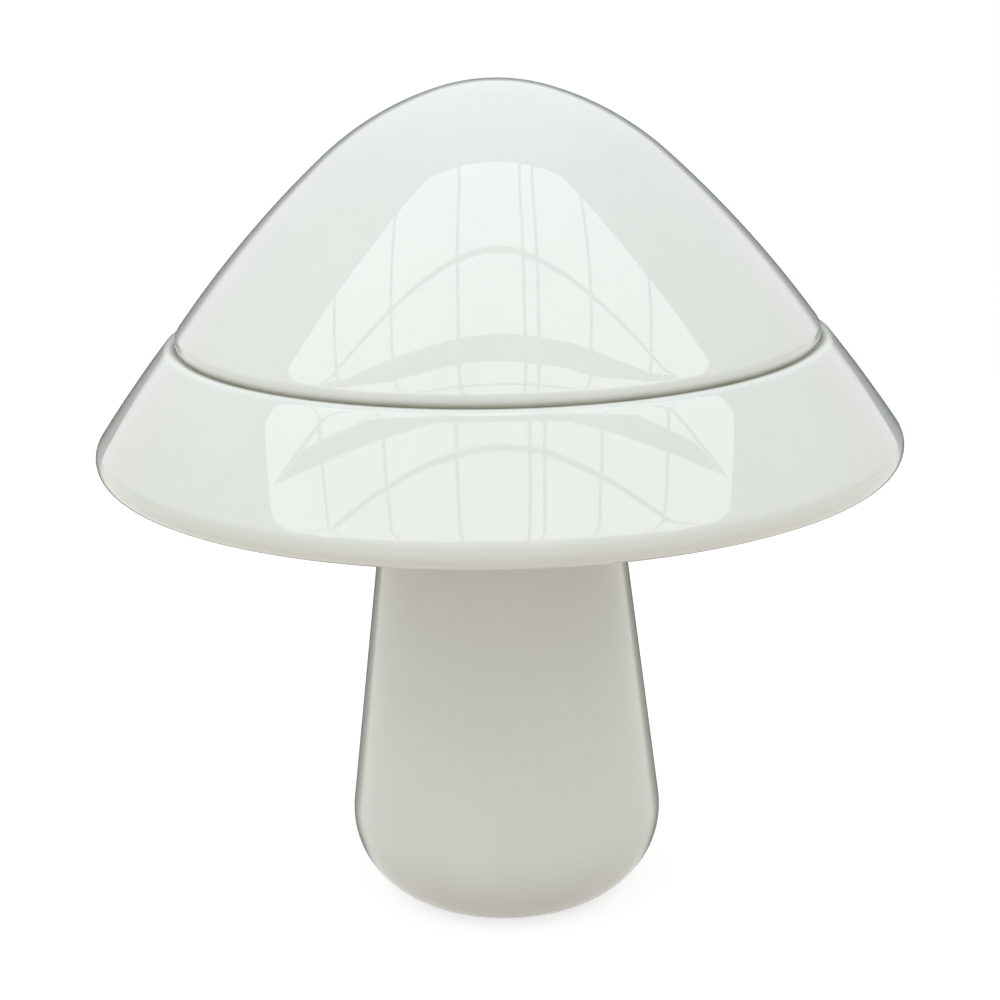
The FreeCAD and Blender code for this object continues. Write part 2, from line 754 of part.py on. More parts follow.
def bulb_tip():
    """Button contact at the very bottom of the bulb."""
    low = bulb_tip_height
    outline = Outline(0.0, low)
    outline.line(tip_radius * 0.5, low)
    outline.line(tip_radius, low + insulator_bottom)
    outline.line(0.0, low + insulator_bottom)
    return [outline.turned()]


# ---------------------------------------------------------------- terminal block and leads

def pole_places():
    return [block_centre_x - pole_pitch / 2, block_centre_x + pole_pitch / 2]


def sleeve_bars(radius):
    """Bars along the poles of the terminal block, from end to end."""
    return [Part.makeCylinder(radius, block_length, FreeCAD.Vector(x, -block_length / 2, pole_z), BACK)
            for x in pole_places()]


def clamp_bars(radius, depth):
    """Short upright bars at the four clamping screws, down from the block's top."""
    top = plate_top + block_height
    return [bar(radius, x, y, top - depth, top)
            for x in pole_places() for y in (-block_length / 4, block_length / 4)]


clamp_depth = block_height - pole_height - lead_bore - clamp_gap


def terminal_block():
    low = (block_centre_x - block_width / 2, -block_length / 2, plate_top)
    body = block((block_width, block_length, block_height), low)
    uprights = [edge for edge in body.Edges if edge.BoundBox.ZLength > block_height - 0.01]
    body = body.makeFillet(block_corner, uprights)
    body = body.cut(Part.makeCompound(sleeve_bars(sleeve_radius)))
    body = body.cut(Part.makeCompound(clamp_bars(clamp_screw_radius, clamp_depth)))
    return [body.cut(bar(block_screw_radius, block_centre_x, 0, plate_top, plate_top + block_height))]


def terminal_sleeves():
    bores = sleeve_bars(lead_bore)
    screws = Part.makeCompound(clamp_bars(clamp_screw_radius, clamp_depth))
    return [sleeve.cut(bore).cut(screws) for sleeve, bore in zip(sleeve_bars(sleeve_radius), bores)]


def terminal_screws():
    return clamp_bars(clamp_screw_radius, clamp_depth)


def block_screw():
    """Countersunk screw through the block and the bottom plate."""
    return [bar(block_screw_radius, block_centre_x, 0, plate_bottom, plate_top + block_height)]


def rounded_path(points):
    """Straight runs joined by tangent arcs, each as large as its two runs allow."""
    corners = [FreeCAD.Vector(*point) for point in points]
    edges = []
    here = corners[0]
    for before, corner, after in zip(corners, corners[1:], corners[2:]):
        into = (corner - before).normalize()
        away = (after - corner).normalize()
        shorter = min((corner - before).Length, (after - corner).Length)
        cut = bend_share * shorter
        start = corner - into * cut
        end = corner + away * cut
        half_turn = into.getAngle(away) / 2
        radius = cut / math.tan(half_turn)
        inward = (away - into).normalize()
        middle = corner + inward * (radius / math.cos(half_turn) - radius)
        edges.append(Part.LineSegment(here, start).toShape())
        edges.append(Part.Arc(start, middle, end).toShape())
        here = end
        print("lead bend radius %.1f mm" % radius)
    edges.append(Part.LineSegment(here, corners[-1]).toShape())
    return Part.Wire(edges)


def lead(pole_x, side):
    """Insulated lead from the terminal block, through the tube's slot, up to the lampholder."""
    terminal_mouth = insert_bottom - terminal_length
    inside_x = side * lead_offset_x
    front = -block_length / 2
    points = [
        (pole_x, front + lead_grip, pole_z),
        (pole_x, front - lead_loop, pole_z),
        (inside_x, front - lead_loop - 1, port_height - lead_loop_low),
        (inside_x, lead_offset_y, port_height + 1),
        (inside_x, lead_offset_y, tube_top + 1),
        (side * terminal_offset, 0, terminal_mouth - 2),
        (side * terminal_offset, 0, terminal_mouth + lead_grip),
    ]
    path = rounded_path(points)
    circle = Part.Wire(Part.makeCircle(lead_radius, FreeCAD.Vector(*points[0]), BACK))
    tube = path.makePipeShell([circle], True, False, 0)
    print("lead volume ratio %.4f" % (tube.Volume / (math.pi * lead_radius ** 2 * path.Length)))
    return [tube]


# ---------------------------------------------------------------- cord inlet

def along_back(solid, height):
    """Turn a solid drawn upright on the axis so that its +Z points to the back."""
    turned = solid.copy()
    turned.rotate(ORIGIN, FreeCAD.Vector(1, 0, 0), -90)
    turned.translate(FreeCAD.Vector(0, 0, height))
    return turned


def inlet_bush():
    """Flanged sleeve through the glass; the cord runs in its bore."""
    outline = Outline(inlet_bore, inlet_inner_end)
    outline.line(inlet_sleeve, inlet_inner_end)
    outline.line(inlet_sleeve, inlet_outer_face)
    outline.line(inlet_flange_radius, inlet_outer_face)
    outline.line(inlet_flange_radius, inlet_outer_face + inlet_flange_thick / 2)
    outline.line(inlet_flange_radius - inlet_flange_thick / 2, inlet_outer_face + inlet_flange_thick)
    outline.line(inlet_bore, inlet_outer_face + inlet_flange_thick)
    return [along_back(outline.turned(), BELLY[1])]


def inlet_gasket():
    """Soft washer that takes up the curve of the glass under the flange."""
    start = belly_radius - inlet_gasket_drape
    washer = along_back(ring(inlet_sleeve, inlet_flange_radius, start, inlet_outer_face), BELLY[1])
    body = Outline(0.0, glass_lift)
    body.line(foot_radius, glass_lift)
    body.swing(BELLY, foot_round, foot_angle, stem_taper)
    body.line(stem_outside(neck_height), neck_height)
    body.line(0.0, neck_height)
    return [washer.cut(body.turned())]


def inlet_nut():
    nut = hexagon(inlet_nut_across_flats, inlet_nut_face - inlet_nut_thick, inlet_nut_face)
    nut = nut.cut(ring(0, inlet_sleeve, inlet_nut_face - inlet_nut_thick, inlet_nut_face))
    return [along_back(nut, BELLY[1])]


# ---------------------------------------------------------------- write every piece

os.makedirs("parts", exist_ok=True)
outer_pole, inner_pole = pole_places()
PIECES = {
    "shade_glass": shade_glass(),
    "stem_glass": stem_glass(),
    "bottom_gasket": bottom_gasket(),
    "bottom_plate": bottom_plate(),
    "foot_pads": foot_pads(),
    "lamp_tube": lamp_tube(),
    "tube_nuts": tube_nuts(),
    "tube_washer": tube_washer(),
    "neck_gasket": neck_gasket(),
    "neck_plate": neck_plate(),
    "carrier_arms": carrier_arms(),
    "arm_rivets": arm_rivets(),
    "arm_tip_caps": arm_tip_caps(),
    "holder_base": holder_base(),
    "holder_lock_screw": holder_lock_screw(),
    "holder_shell": holder_shell(),
    "holder_ring_nut": holder_ring_nut(),
    "holder_insert": holder_insert(),
    "screw_shell": screw_shell(),
    "centre_contact": centre_contact(),
    "holder_terminals": holder_terminals(),
    "bulb_glass": bulb_glass(),
    "bulb_cap": bulb_cap(),
    "bulb_insulator": bulb_insulator(),
    "bulb_tip": bulb_tip(),
    "terminal_block": terminal_block(),
    "terminal_sleeves": terminal_sleeves(),
    "terminal_screws": terminal_screws(),
    "block_screw": block_screw(),
    "live_lead": lead(outer_pole, -1),
    "neutral_lead": lead(inner_pole, 1),
    "inlet_bush": inlet_bush(),
    "inlet_gasket": inlet_gasket(),
    "inlet_nut": inlet_nut(),
}
for name, solids in PIECES.items():
    write(name, solids)
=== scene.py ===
import bmesh
import bpy
import json
import math
from mathutils import Matrix, Vector


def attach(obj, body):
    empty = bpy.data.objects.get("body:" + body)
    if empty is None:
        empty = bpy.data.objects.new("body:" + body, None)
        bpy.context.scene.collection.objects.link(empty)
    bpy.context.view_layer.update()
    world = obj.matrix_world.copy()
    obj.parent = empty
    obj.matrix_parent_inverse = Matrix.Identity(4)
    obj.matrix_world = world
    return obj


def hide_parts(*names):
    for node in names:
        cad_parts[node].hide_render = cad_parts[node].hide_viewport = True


# A mushroom table lamp in white opal glass, dressed around its construction model.
# Metres, +Z up, +Y towards the back.  Each turned piece is drawn as an outline of
# (radius, height) points and turned round the lamp's axis.

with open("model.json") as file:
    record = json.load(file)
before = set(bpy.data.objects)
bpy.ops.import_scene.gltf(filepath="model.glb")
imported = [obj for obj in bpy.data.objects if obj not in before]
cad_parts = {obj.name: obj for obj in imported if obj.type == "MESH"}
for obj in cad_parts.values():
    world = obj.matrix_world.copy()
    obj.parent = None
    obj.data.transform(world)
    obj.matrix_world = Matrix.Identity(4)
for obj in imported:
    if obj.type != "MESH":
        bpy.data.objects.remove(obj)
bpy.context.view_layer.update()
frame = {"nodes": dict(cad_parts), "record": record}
MM = 0.001

# ---------------------------------------------------------------- sizes

# Shade, as the construction model has it
RIM_HEIGHT = 181.0 * MM
RIM_RADIUS = 150.0 * MM
RIM_ROUND = 6.9 * MM
RIM_TURN = -125.0
CROWN_RISE = 132.3 * MM
CROWN_BEND = 70.3 * MM
CROWN_SWEEP = 16.9
SHOULDER_BEND = 112.2 * MM
SHOULDER_SWEEP = 42.3
FLANK_BEND = 410.0 * MM
DOME_EDGE_RADIUS = 118.05 * MM
DOME_EDGE_ROUND = 4.7 * MM
DOME_EDGE_TURN = -30.0
LIP_STEP_OUT = 5.65 * MM
LIP_STEP_DOWN = 6.23 * MM
LIP_ROUND = 3.8 * MM
LIP_TURN = 120.0
GROOVE_DEPTH = 0.45 * MM
SKIRT_BOW = 540.0 * MM
SHADE_WALL = 4.0 * MM
RIB_RISE = 3.4 * MM
RIB_UP = 8.0 * MM
RIB_DOWN = 2.4 * MM
# Ring of painted shade along the groove between dome and skirt: its radius, height and reach
CREASE_RADIUS = 118.5 * MM
CREASE_HEIGHT = 219.6 * MM
CREASE_REACH = 3.6 * MM

# Stem
GLASS_LIFT = 1.5 * MM
FOOT_RADIUS = 42.2 * MM
FOOT_ROUND = 33.1 * MM
BELLY_RADIUS = 60.1 * MM
STEM_TAPER = 6.98
NECK_HEIGHT = 190.0 * MM
STEM_WALL = 4.5 * MM
HEEL_RING = 4.2 * MM
RECESS_TOP = 9.5 * MM
FLOOR_TOP = 14.0 * MM
OPENING_RADIUS = 30.0 * MM
MOUTH_EDGE = 0.8 * MM
CORD_HOLE = 5.4 * MM
GROUND_PLAY = 0.1 * MM        # ground faces lie within this of heel, recess or cord hole,
MOUTH_GROUND = 0.3 * MM       # and within this of the mouth's top

# Neck plate and arms
NECK_PLATE_TOP = 193.0 * MM
NECK_PLATE_THICK = 1.5 * MM
NECK_RIM_LOW = 186.0 * MM
NECK_RIM_PLAY = 1.0 * MM
NECK_EASE = 0.35 * MM
ARM_THICK = 2.0 * MM
ARM_WIDTH = 10.0 * MM
ARM_TIP_WIDTH = 7.0 * MM
ARM_FOOT = 30.0 * MM
ARM_BEND = 4.0 * MM
ARM_KNEE_IN = 1.5 * MM
ARM_CORNER = 2.0 * MM
ARM_EASE = 0.45 * MM
ARM_NARROW_LEAD = 4.0 * MM
TIP_CAP_RADIUS = 5.2 * MM
TIP_CAP_LENGTH = 11.0 * MM
TIP_SEAT_DROP = 7.0 * MM
SOFT_GAP = 0.3 * MM           # rest gap between curved faces of different bodies

# Feet
PAD_RADIUS = 6.0 * MM
PAD_TOP = 6.5 * MM
PAD_PITCH = 28.0 * MM
PAD_LOW_ROUND = 1.2 * MM
PAD_TOP_EDGE = 0.3 * MM
PAD_DISH = [(0.0, 0.35 * MM), (2.0 * MM, 0.35 * MM), (3.2 * MM, 0.0)]

# Lampholder
HOLDER_TOP = 206.0 * MM
HOLDER_JOINT = 166.0 * MM
HOLDER_RADIUS = 19.8 * MM
HOLDER_CHAMFER = 1.0 * MM
HOLDER_HOLE_PLAY = 0.4 * MM
HOLDER_BORE = 15.2 * MM
HOLDER_LOWER_BORE = 17.3 * MM
HOLDER_THREAD_PITCH = 2.5 * MM
HOLDER_THREAD_DEPTH = 0.7 * MM
HOLDER_THREAD_LENGTH = 14.0 * MM
INSERT_TOP = 180.0 * MM
BRASS_LENGTH = 22.5 * MM
BRASS_RADIUS = 13.35 * MM
BRASS_WALL = 0.4 * MM
BRASS_ROLL = 0.6 * MM

# Bulb
BULB_TIP = 183.5 * MM
BALL_HEIGHT = 261.5 * MM
BALL_RADIUS = 30.0 * MM
BULB_NECK = 13.6 * MM
BULB_WAIST = 40.0 * MM
CAP_BOTTOM = 189.5 * MM
CAP_TOP = 209.5 * MM
CAP_CORE = 12.2 * MM
CAP_WALL = 0.8 * MM
CAP_COLLAR = 1.0 * MM
THREAD_FIRST = 8.0 * MM
THREAD_PITCH = 3.629 * MM
THREAD_DEPTH = 0.85 * MM
INSULATOR_LOW = 1.2 * MM
CONE_SHORT = 2.2 * MM
CONE_TOP_DROP = 1.1 * MM
CONE_SWELL = 0.35 * MM
TIP_RADIUS = 4.8 * MM
TIP_DISH = 0.06 * MM
TIP_SWELL = 0.15 * MM

# Cord bush, along +Y
BUSH_BORE = 3.5 * MM
BUSH_SLEEVE = 5.2 * MM
BUSH_FLANGE = 8.5 * MM
BUSH_FLANGE_THICK = 2.2 * MM
BUSH_OUTER_FACE = 61.3 * MM
BUSH_INNER_END = 48.877 * MM

TURN_STEPS = 256
TO_BACK = Matrix.Rotation(math.radians(-90), 4, "X")

# ---------------------------------------------------------------- mesh helpers


def levels(low, high, steps):
    """Evenly spaced values, both ends included."""
    return [low + (high - low) * i / steps for i in range(steps + 1)]


def polar(centre, radius, degrees):
    """The point at a distance and an angle from a centre."""
    angle = math.radians(degrees)
    return (centre[0] + radius * math.cos(angle), centre[1] + radius * math.sin(angle))


def arc(centre, radius, start, end, steps):
    """Points along an arc, both ends included."""
    return [polar(centre, radius, angle) for angle in levels(start, end, steps)]


def bow(start, end, depth, steps):
    """Points along a shallow curve that stands off the chord by a depth, to its right."""
    along = Vector((end[0] - start[0], end[1] - start[1]))
    side = Vector((along.y, -along.x)).normalized()
    points = []
    for i in range(steps + 1):
        t = i / steps
        p = Vector(start) + along * t + side * depth * 4 * t * (1 - t)
        points.append((p.x, p.y))
    return points


def run(start, end, steps):
    """Evenly spaced points along a straight line."""
    return list(zip(levels(start[0], end[0], steps), levels(start[1], end[1], steps)))


def joined(*stretches):
    """One outline from several stretches, without doubled points."""
    outline = []
    for stretch in stretches:
        for point in stretch:
            if not outline or math.dist(outline[-1], point) > 1e-6:
                outline.append(point)
    return outline


def keep(bm, name, sharp=35.0):
    """A mesh object from a bmesh, smooth except along its sharp edges."""
    bmesh.ops.recalc_face_normals(bm, faces=bm.faces)
    for face in bm.faces:
        face.smooth = True
    for edge in bm.edges:
        if len(edge.link_faces) == 2 and edge.calc_face_angle() > math.radians(sharp):
            edge.smooth = False
    mesh = bpy.data.meshes.new(name)
    bm.to_mesh(mesh)
    bm.free()
    piece = bpy.data.objects.new(name, mesh)
    bpy.context.scene.collection.objects.link(piece)
    return piece


def turned(name, outline, steps=TURN_STEPS, closed=False, sharp=35.0):
    """A solid of revolution; an end on the axis becomes a pole."""
    bm = bmesh.new()
    rings = []
    for r, z in outline:
        if r < 1e-7:
            rings.append([bm.verts.new((0.0, 0.0, z))])
        else:
            turn = [2 * math.pi * i / steps for i in range(steps)]
            rings.append([bm.verts.new((r * math.cos(a), r * math.sin(a), z)) for a in turn])
    pairs = list(zip(rings, rings[1:]))
    if closed:
        pairs.append((rings[-1], rings[0]))
    for one, other in pairs:
        for i in range(steps):
            j = (i + 1) % steps
            corners = [one[i % len(one)], one[j % len(one)],
                       other[j % len(other)], other[i % len(other)]]
            bm.faces.new(list(dict.fromkeys(corners)))
    return keep(bm, name, sharp)


# ---------------------------------------------------------------- shade

CROWN_CENTRE = (0.0, RIM_HEIGHT + CROWN_RISE - CROWN_BEND)
crown_end = 90.0 - CROWN_SWEEP
shoulder_end = 90.0 - SHOULDER_SWEEP
SHOULDER_CENTRE = polar(CROWN_CENTRE, CROWN_BEND - SHOULDER_BEND, crown_end)
FLANK_CENTRE = polar(SHOULDER_CENTRE, SHOULDER_BEND - FLANK_BEND, shoulder_end)
flank_end = math.degrees(math.acos((DOME_EDGE_RADIUS - FLANK_CENTRE[0]) / FLANK_BEND))
DOME_EDGE = polar(FLANK_CENTRE, FLANK_BEND, flank_end)
LIP = (DOME_EDGE[0] + LIP_STEP_OUT, DOME_EDGE[1] - LIP_STEP_DOWN)
RIM_CENTRE = (RIM_RADIUS - RIM_ROUND, RIM_HEIGHT)


def skirt_arc():
    """Centre of the skirt's shallow arc, and the directions of its two ends."""
    across = LIP[0] - RIM_CENTRE[0]
    up = LIP[1] - RIM_CENTRE[1]
    reach = math.hypot(across, up)
    shift = RIM_ROUND - SKIRT_BOW
    along = (reach ** 2 + shift ** 2 - SKIRT_BOW ** 2) / (2 * shift)
    low = math.degrees(math.atan2(up, across) - math.acos(along / reach))
    centre = polar(RIM_CENTRE, shift, low)
    high = math.degrees(math.atan2(LIP[1] - centre[1], LIP[0] - centre[0]))
    return centre, high, low


def make_shade():
    """Dome, rolled edge, groove, skirt and rolled-in rim in one wall."""
    skirt_centre, skirt_high, skirt_low = skirt_arc()
    roll_centre = polar(DOME_EDGE, -DOME_EDGE_ROUND, flank_end)
    roll_end = polar(roll_centre, DOME_EDGE_ROUND, DOME_EDGE_TURN)
    lip_centre = polar(LIP, -LIP_ROUND, skirt_high)
    lip_start = polar(lip_centre, LIP_ROUND, LIP_TURN)
    flank_inner = FLANK_BEND - SHADE_WALL
    skirt_inner = SKIRT_BOW - SHADE_WALL
    rib_high = flank_end + math.degrees(RIB_UP / flank_inner)
    rib_low = skirt_high - math.degrees(RIB_DOWN / skirt_inner)
    rib_top = polar(FLANK_CENTRE, flank_inner, rib_high)
    rib_foot = polar(skirt_centre, skirt_inner, rib_low)
    end_centre = polar(RIM_CENTRE, RIM_ROUND - SHADE_WALL / 2, RIM_TURN)
    outline = joined(
        arc(CROWN_CENTRE, CROWN_BEND, 90, crown_end, 12),
        arc(SHOULDER_CENTRE, SHOULDER_BEND, crown_end, shoulder_end, 24),
        arc(FLANK_CENTRE, FLANK_BEND, shoulder_end, flank_end, 24),
        arc(roll_centre, DOME_EDGE_ROUND, flank_end, DOME_EDGE_TURN, 14),
        bow(roll_end, lip_start, GROOVE_DEPTH, 8),
        arc(lip_centre, LIP_ROUND, LIP_TURN, skirt_high, 14),
        arc(skirt_centre, SKIRT_BOW, skirt_high, skirt_low, 16),
        arc(RIM_CENTRE, RIM_ROUND, skirt_low, RIM_TURN, 24),
        arc(end_centre, SHADE_WALL / 2, RIM_TURN, RIM_TURN - 180, 10),
        arc(RIM_CENTRE, RIM_ROUND - SHADE_WALL, RIM_TURN, skirt_low, 14),
        arc(skirt_centre, skirt_inner, skirt_low, rib_low, 16),
        bow(rib_foot, rib_top, -RIB_RISE, 10),
        arc(FLANK_CENTRE, flank_inner, rib_high, shoulder_end, 20),
        arc(SHOULDER_CENTRE, SHOULDER_BEND - SHADE_WALL, shoulder_end, crown_end, 18),
        arc(CROWN_CENTRE, CROWN_BEND - SHADE_WALL, crown_end, 90, 10),
    )
    return turned("blown_shade", outline, sharp=80.0)


# ---------------------------------------------------------------- stem

belly_reach = BELLY_RADIUS - FOOT_ROUND
foot_angle = -math.degrees(math.acos((FOOT_RADIUS - belly_reach) / FOOT_ROUND))
BELLY = (belly_reach, GLASS_LIFT - FOOT_ROUND * math.sin(math.radians(foot_angle)))


def stem_side(height, inset=0.0):
    """Radius of the tapered side at a height, moved in by a wall thickness."""
    start = polar(BELLY, FOOT_ROUND - inset, STEM_TAPER)
    return start[0] - (height - start[1]) * math.tan(math.radians(STEM_TAPER))


NECK_RIM_INSIDE = stem_side(NECK_RIM_LOW) + NECK_RIM_PLAY
ARM_KNEE = NECK_RIM_INSIDE + NECK_PLATE_THICK - ARM_KNEE_IN
seat_height = LIP[1] - TIP_SEAT_DROP
SKIRT_CENTRE = skirt_arc()[0]
seat_rise = seat_height - SKIRT_CENTRE[1]
seat_reach = math.sqrt((SKIRT_BOW - SHADE_WALL) ** 2 - seat_rise ** 2)
SEAT = (SKIRT_CENTRE[0] + seat_reach, seat_height)
seat_angle = math.degrees(math.atan2(SEAT[1] - SKIRT_CENTRE[1], SEAT[0] - SKIRT_CENTRE[0]))
ARM_END = polar(SEAT, -(TIP_CAP_RADIUS + SOFT_GAP), seat_angle)
ARM_NARROW = ARM_END[0] - TIP_CAP_LENGTH - ARM_NARROW_LEAD


def make_stem():
    """Tapered tube with a full heel, a recess under it and a drilled cord hole."""
    inner = FOOT_ROUND - STEM_WALL
    floor_angle = -math.degrees(math.asin((BELLY[1] - FLOOR_TOP) / inner))
    mouth_out = stem_side(NECK_HEIGHT)
    mouth_in = stem_side(NECK_HEIGHT, STEM_WALL)
    mouth_low = NECK_HEIGHT - MOUTH_EDGE
    heel_in = FOOT_RADIUS - HEEL_RING
    outline = joined(
        [(heel_in, GLASS_LIFT)],
        arc(BELLY, FOOT_ROUND, foot_angle, STEM_TAPER, 36),
        run(polar(BELLY, FOOT_ROUND, STEM_TAPER), (stem_side(mouth_low), mouth_low), 24),
        arc((mouth_out - MOUTH_EDGE, mouth_low), MOUTH_EDGE, STEM_TAPER, 90, 5),
        arc((mouth_in + MOUTH_EDGE, mouth_low), MOUTH_EDGE, 90, 180, 5),
        run((stem_side(mouth_low, STEM_WALL), mouth_low), polar(BELLY, inner, STEM_TAPER), 12),
        arc(BELLY, inner, STEM_TAPER, floor_angle, 20),
        [(OPENING_RADIUS, FLOOR_TOP), (OPENING_RADIUS, RECESS_TOP), (heel_in, RECESS_TOP)],
    )
    stem = turned("blown_stem", outline, closed=True)
    past = BELLY_RADIUS * 1.2     # clear of the glass
    drill = turned("drill", [(0.0, 0.0), (CORD_HOLE, 0.0), (CORD_HOLE, past), (0.0, past)], 64)
    drill.data.transform(Matrix.Translation((0, 0, BELLY[1])) @ TO_BACK)
    cut = stem.modifiers.new("cord_hole", "BOOLEAN")
    cut.operation = "DIFFERENCE"
    cut.object = drill
    return settle(stem, drill)


def settle(piece, *tools):
    """Apply a piece's modifiers and remove the shapes that cut it."""
    bpy.context.view_layer.update()
    graph = bpy.context.evaluated_depsgraph_get()
    done = bpy.data.meshes.new_from_object(piece.evaluated_get(graph))
    piece.modifiers.clear()
    piece.data = done
    for tool in tools:
        bpy.data.objects.remove(tool)
    return piece


# ---------------------------------------------------------------- bulb


def make_envelope():
    """Pear-shaped glass: neck, hollow curve, ball."""
    waist_x = BULB_NECK + BULB_WAIST
    waist_z = BALL_HEIGHT - math.sqrt((BULB_WAIST + BALL_RADIUS) ** 2 - waist_x ** 2)
    join = math.degrees(math.atan2(waist_z - BALL_HEIGHT, waist_x))
    neck = CAP_TOP
    outline = joined(
        [(0.0, neck), (BULB_NECK, neck)],
        run((BULB_NECK, neck), (BULB_NECK, waist_z), 3),
        arc((waist_x, waist_z), BULB_WAIST, 180, 180 + join, 12),
        arc((0.0, BALL_HEIGHT), BALL_RADIUS, join, 90, 40),
    )
    outline[-1] = (0.0, outline[-1][1])
    return turned("bulb_envelope", outline, steps=128, sharp=60.0)


def threaded(name, rows, steps, inner, sharp=50.0):
    """Closed tube whose outside follows rows of (height, radius by angle); inside it is plain."""
    bm = bmesh.new()
    turn = [2 * math.pi * i / steps for i in range(steps)]
    rings = []
    for height, radius_at in rows + [(height, lambda a, r=radius: r) for height, radius in inner]:
        ring = []
        for a in turn:
            r = radius_at(a)
            ring.append(bm.verts.new((r * math.cos(a), r * math.sin(a), height)))
        rings.append(ring)
    for one, other in zip(rings, rings[1:] + rings[:1]):
        for i in range(steps):
            j = (i + 1) % steps
            bm.faces.new((one[i], one[j], other[j], other[i]))
    return keep(bm, name, sharp)


def ridge(height, angle, first, pitch, flat=0.0):
    """Height of a right-hand thread's rounded ridge, 0 in its root and 1 on its crest."""
    phase = (height - first) / pitch - angle / (2 * math.pi)
    wave = 0.5 + 0.5 * math.cos(2 * math.pi * phase)
    return min(1.0, max(0.0, (wave - flat) / (1.0 - 2 * flat)))


def ends(height, low, high, run_out):
    """Fades a thread in and out at its two ends."""
    inside = min(height - low, high - height) / run_out
    return min(1.0, max(0.0, inside))


def make_screw_cap():
    """Rolled metal cap: a right-hand round thread under a flared collar."""
    first = BULB_TIP + THREAD_FIRST
    low = CAP_BOTTOM
    thread_end = CAP_TOP - 2 * CAP_COLLAR
    rows = []
    for height in levels(low, thread_end, 84):
        fade = ends(height, low + 0.2 * MM, thread_end, run_out=1.6 * MM)
        rows.append((height, lambda a, h=height, f=fade: CAP_CORE
                     + THREAD_DEPTH * f * ridge(h, a, first, THREAD_PITCH)))
    for i in range(1, 7):
        t = i / 6
        rows.append((thread_end + CAP_COLLAR * t,
                     lambda a, t=t: CAP_CORE + THREAD_DEPTH * (3 * t * t - 2 * t ** 3)))
    rows.append((CAP_TOP, lambda a: CAP_CORE + THREAD_DEPTH))
    inner = [(CAP_TOP, CAP_CORE - CAP_WALL), (CAP_BOTTOM, CAP_CORE - CAP_WALL)]
    return threaded("bulb_screw_cap", rows, 120, inner)


def make_black_glass():
    """Moulded dark glass ring between the cap and the contact, with a stepped cone."""
    low = BULB_TIP + INSULATOR_LOW
    high = CAP_BOTTOM
    slope = (CAP_CORE - CONE_SHORT - TIP_RADIUS, high - CONE_TOP_DROP - low)
    outline = [(0.0, low), (TIP_RADIUS, low)]
    for i in range(1, 9):
        t = i / 8
        swell = CONE_SWELL * math.sin(math.pi * t)
        outline.append((TIP_RADIUS + slope[0] * t + swell * 0.6, low + slope[1] * t - swell))
    outline += arc((CAP_CORE - 1.0 * MM, high - 0.6 * MM), 0.8 * MM, -60, 20, 5)
    outline += [(CAP_CORE - 0.1 * MM, high), (0.0, high)]
    return turned("bulb_black_glass", outline, steps=96, sharp=50.0)


def make_contact_button():
    """Soldered button at the bulb's very end."""
    low = BULB_TIP
    high = BULB_TIP + INSULATOR_LOW
    outline = joined(
        [(0.0, low)],
        [(0.5 * TIP_RADIUS * t, low + TIP_DISH * t * t) for t in (0.5, 1.0)],
        bow((0.5 * TIP_RADIUS, low + TIP_DISH), (TIP_RADIUS, high), TIP_SWELL, 6),
        [(0.0, high)],
    )
    return turned("bulb_contact_button", outline, steps=64, sharp=70.0)


# ---------------------------------------------------------------- lampholder


def make_holder_sleeve():
    """Moulded outer body; its upper outside carries the ring nut's thread."""
    thread_low = NECK_PLATE_TOP - HOLDER_THREAD_LENGTH
    thread_high = HOLDER_TOP - HOLDER_CHAMFER
    low_edge = 0.25 * MM
    top_edge = 0.4 * MM
    rows = [(HOLDER_JOINT, lambda a: HOLDER_RADIUS - low_edge),
            (HOLDER_JOINT + low_edge, lambda a: HOLDER_RADIUS)]
    for height in levels(thread_low, thread_high, 96):
        fade = ends(height, thread_low, thread_high + 1.0 * MM, run_out=1.2 * MM)
        rows.append((height, lambda a, h=height, f=fade: HOLDER_RADIUS - HOLDER_THREAD_DEPTH * f
                     * (1 - ridge(h, a, thread_low, HOLDER_THREAD_PITCH, 0.18))))
    rows.append((HOLDER_TOP, lambda a: HOLDER_RADIUS - HOLDER_CHAMFER))
    inner = [(HOLDER_TOP, HOLDER_BORE + top_edge), (HOLDER_TOP - top_edge, HOLDER_BORE),
             (INSERT_TOP, HOLDER_BORE), (INSERT_TOP, HOLDER_LOWER_BORE),
             (HOLDER_JOINT, HOLDER_LOWER_BORE)]
    return threaded("lampholder_sleeve", rows, 128, inner)


def make_brass_thread():
    """Thin rolled brass sleeve that the bulb's cap screws into."""
    first = BULB_TIP + THREAD_FIRST
    low = INSERT_TOP
    high = INSERT_TOP + BRASS_LENGTH
    heights = levels(low, high, 90)
    rows = []
    for wall, order in ((BRASS_WALL, heights), (0.0, reversed(heights))):
        for height in order:
            fade = ends(height, low, high, run_out=1.0 * MM)
            rows.append((height, lambda a, h=height, f=fade, w=wall: BRASS_RADIUS + w
                         + BRASS_ROLL * f * ridge(h, a, first, THREAD_PITCH)))
    return threaded("rolled_brass_sleeve", rows, 120, [], 60.0)


# ---------------------------------------------------------------- neck plate, arms, feet, bush


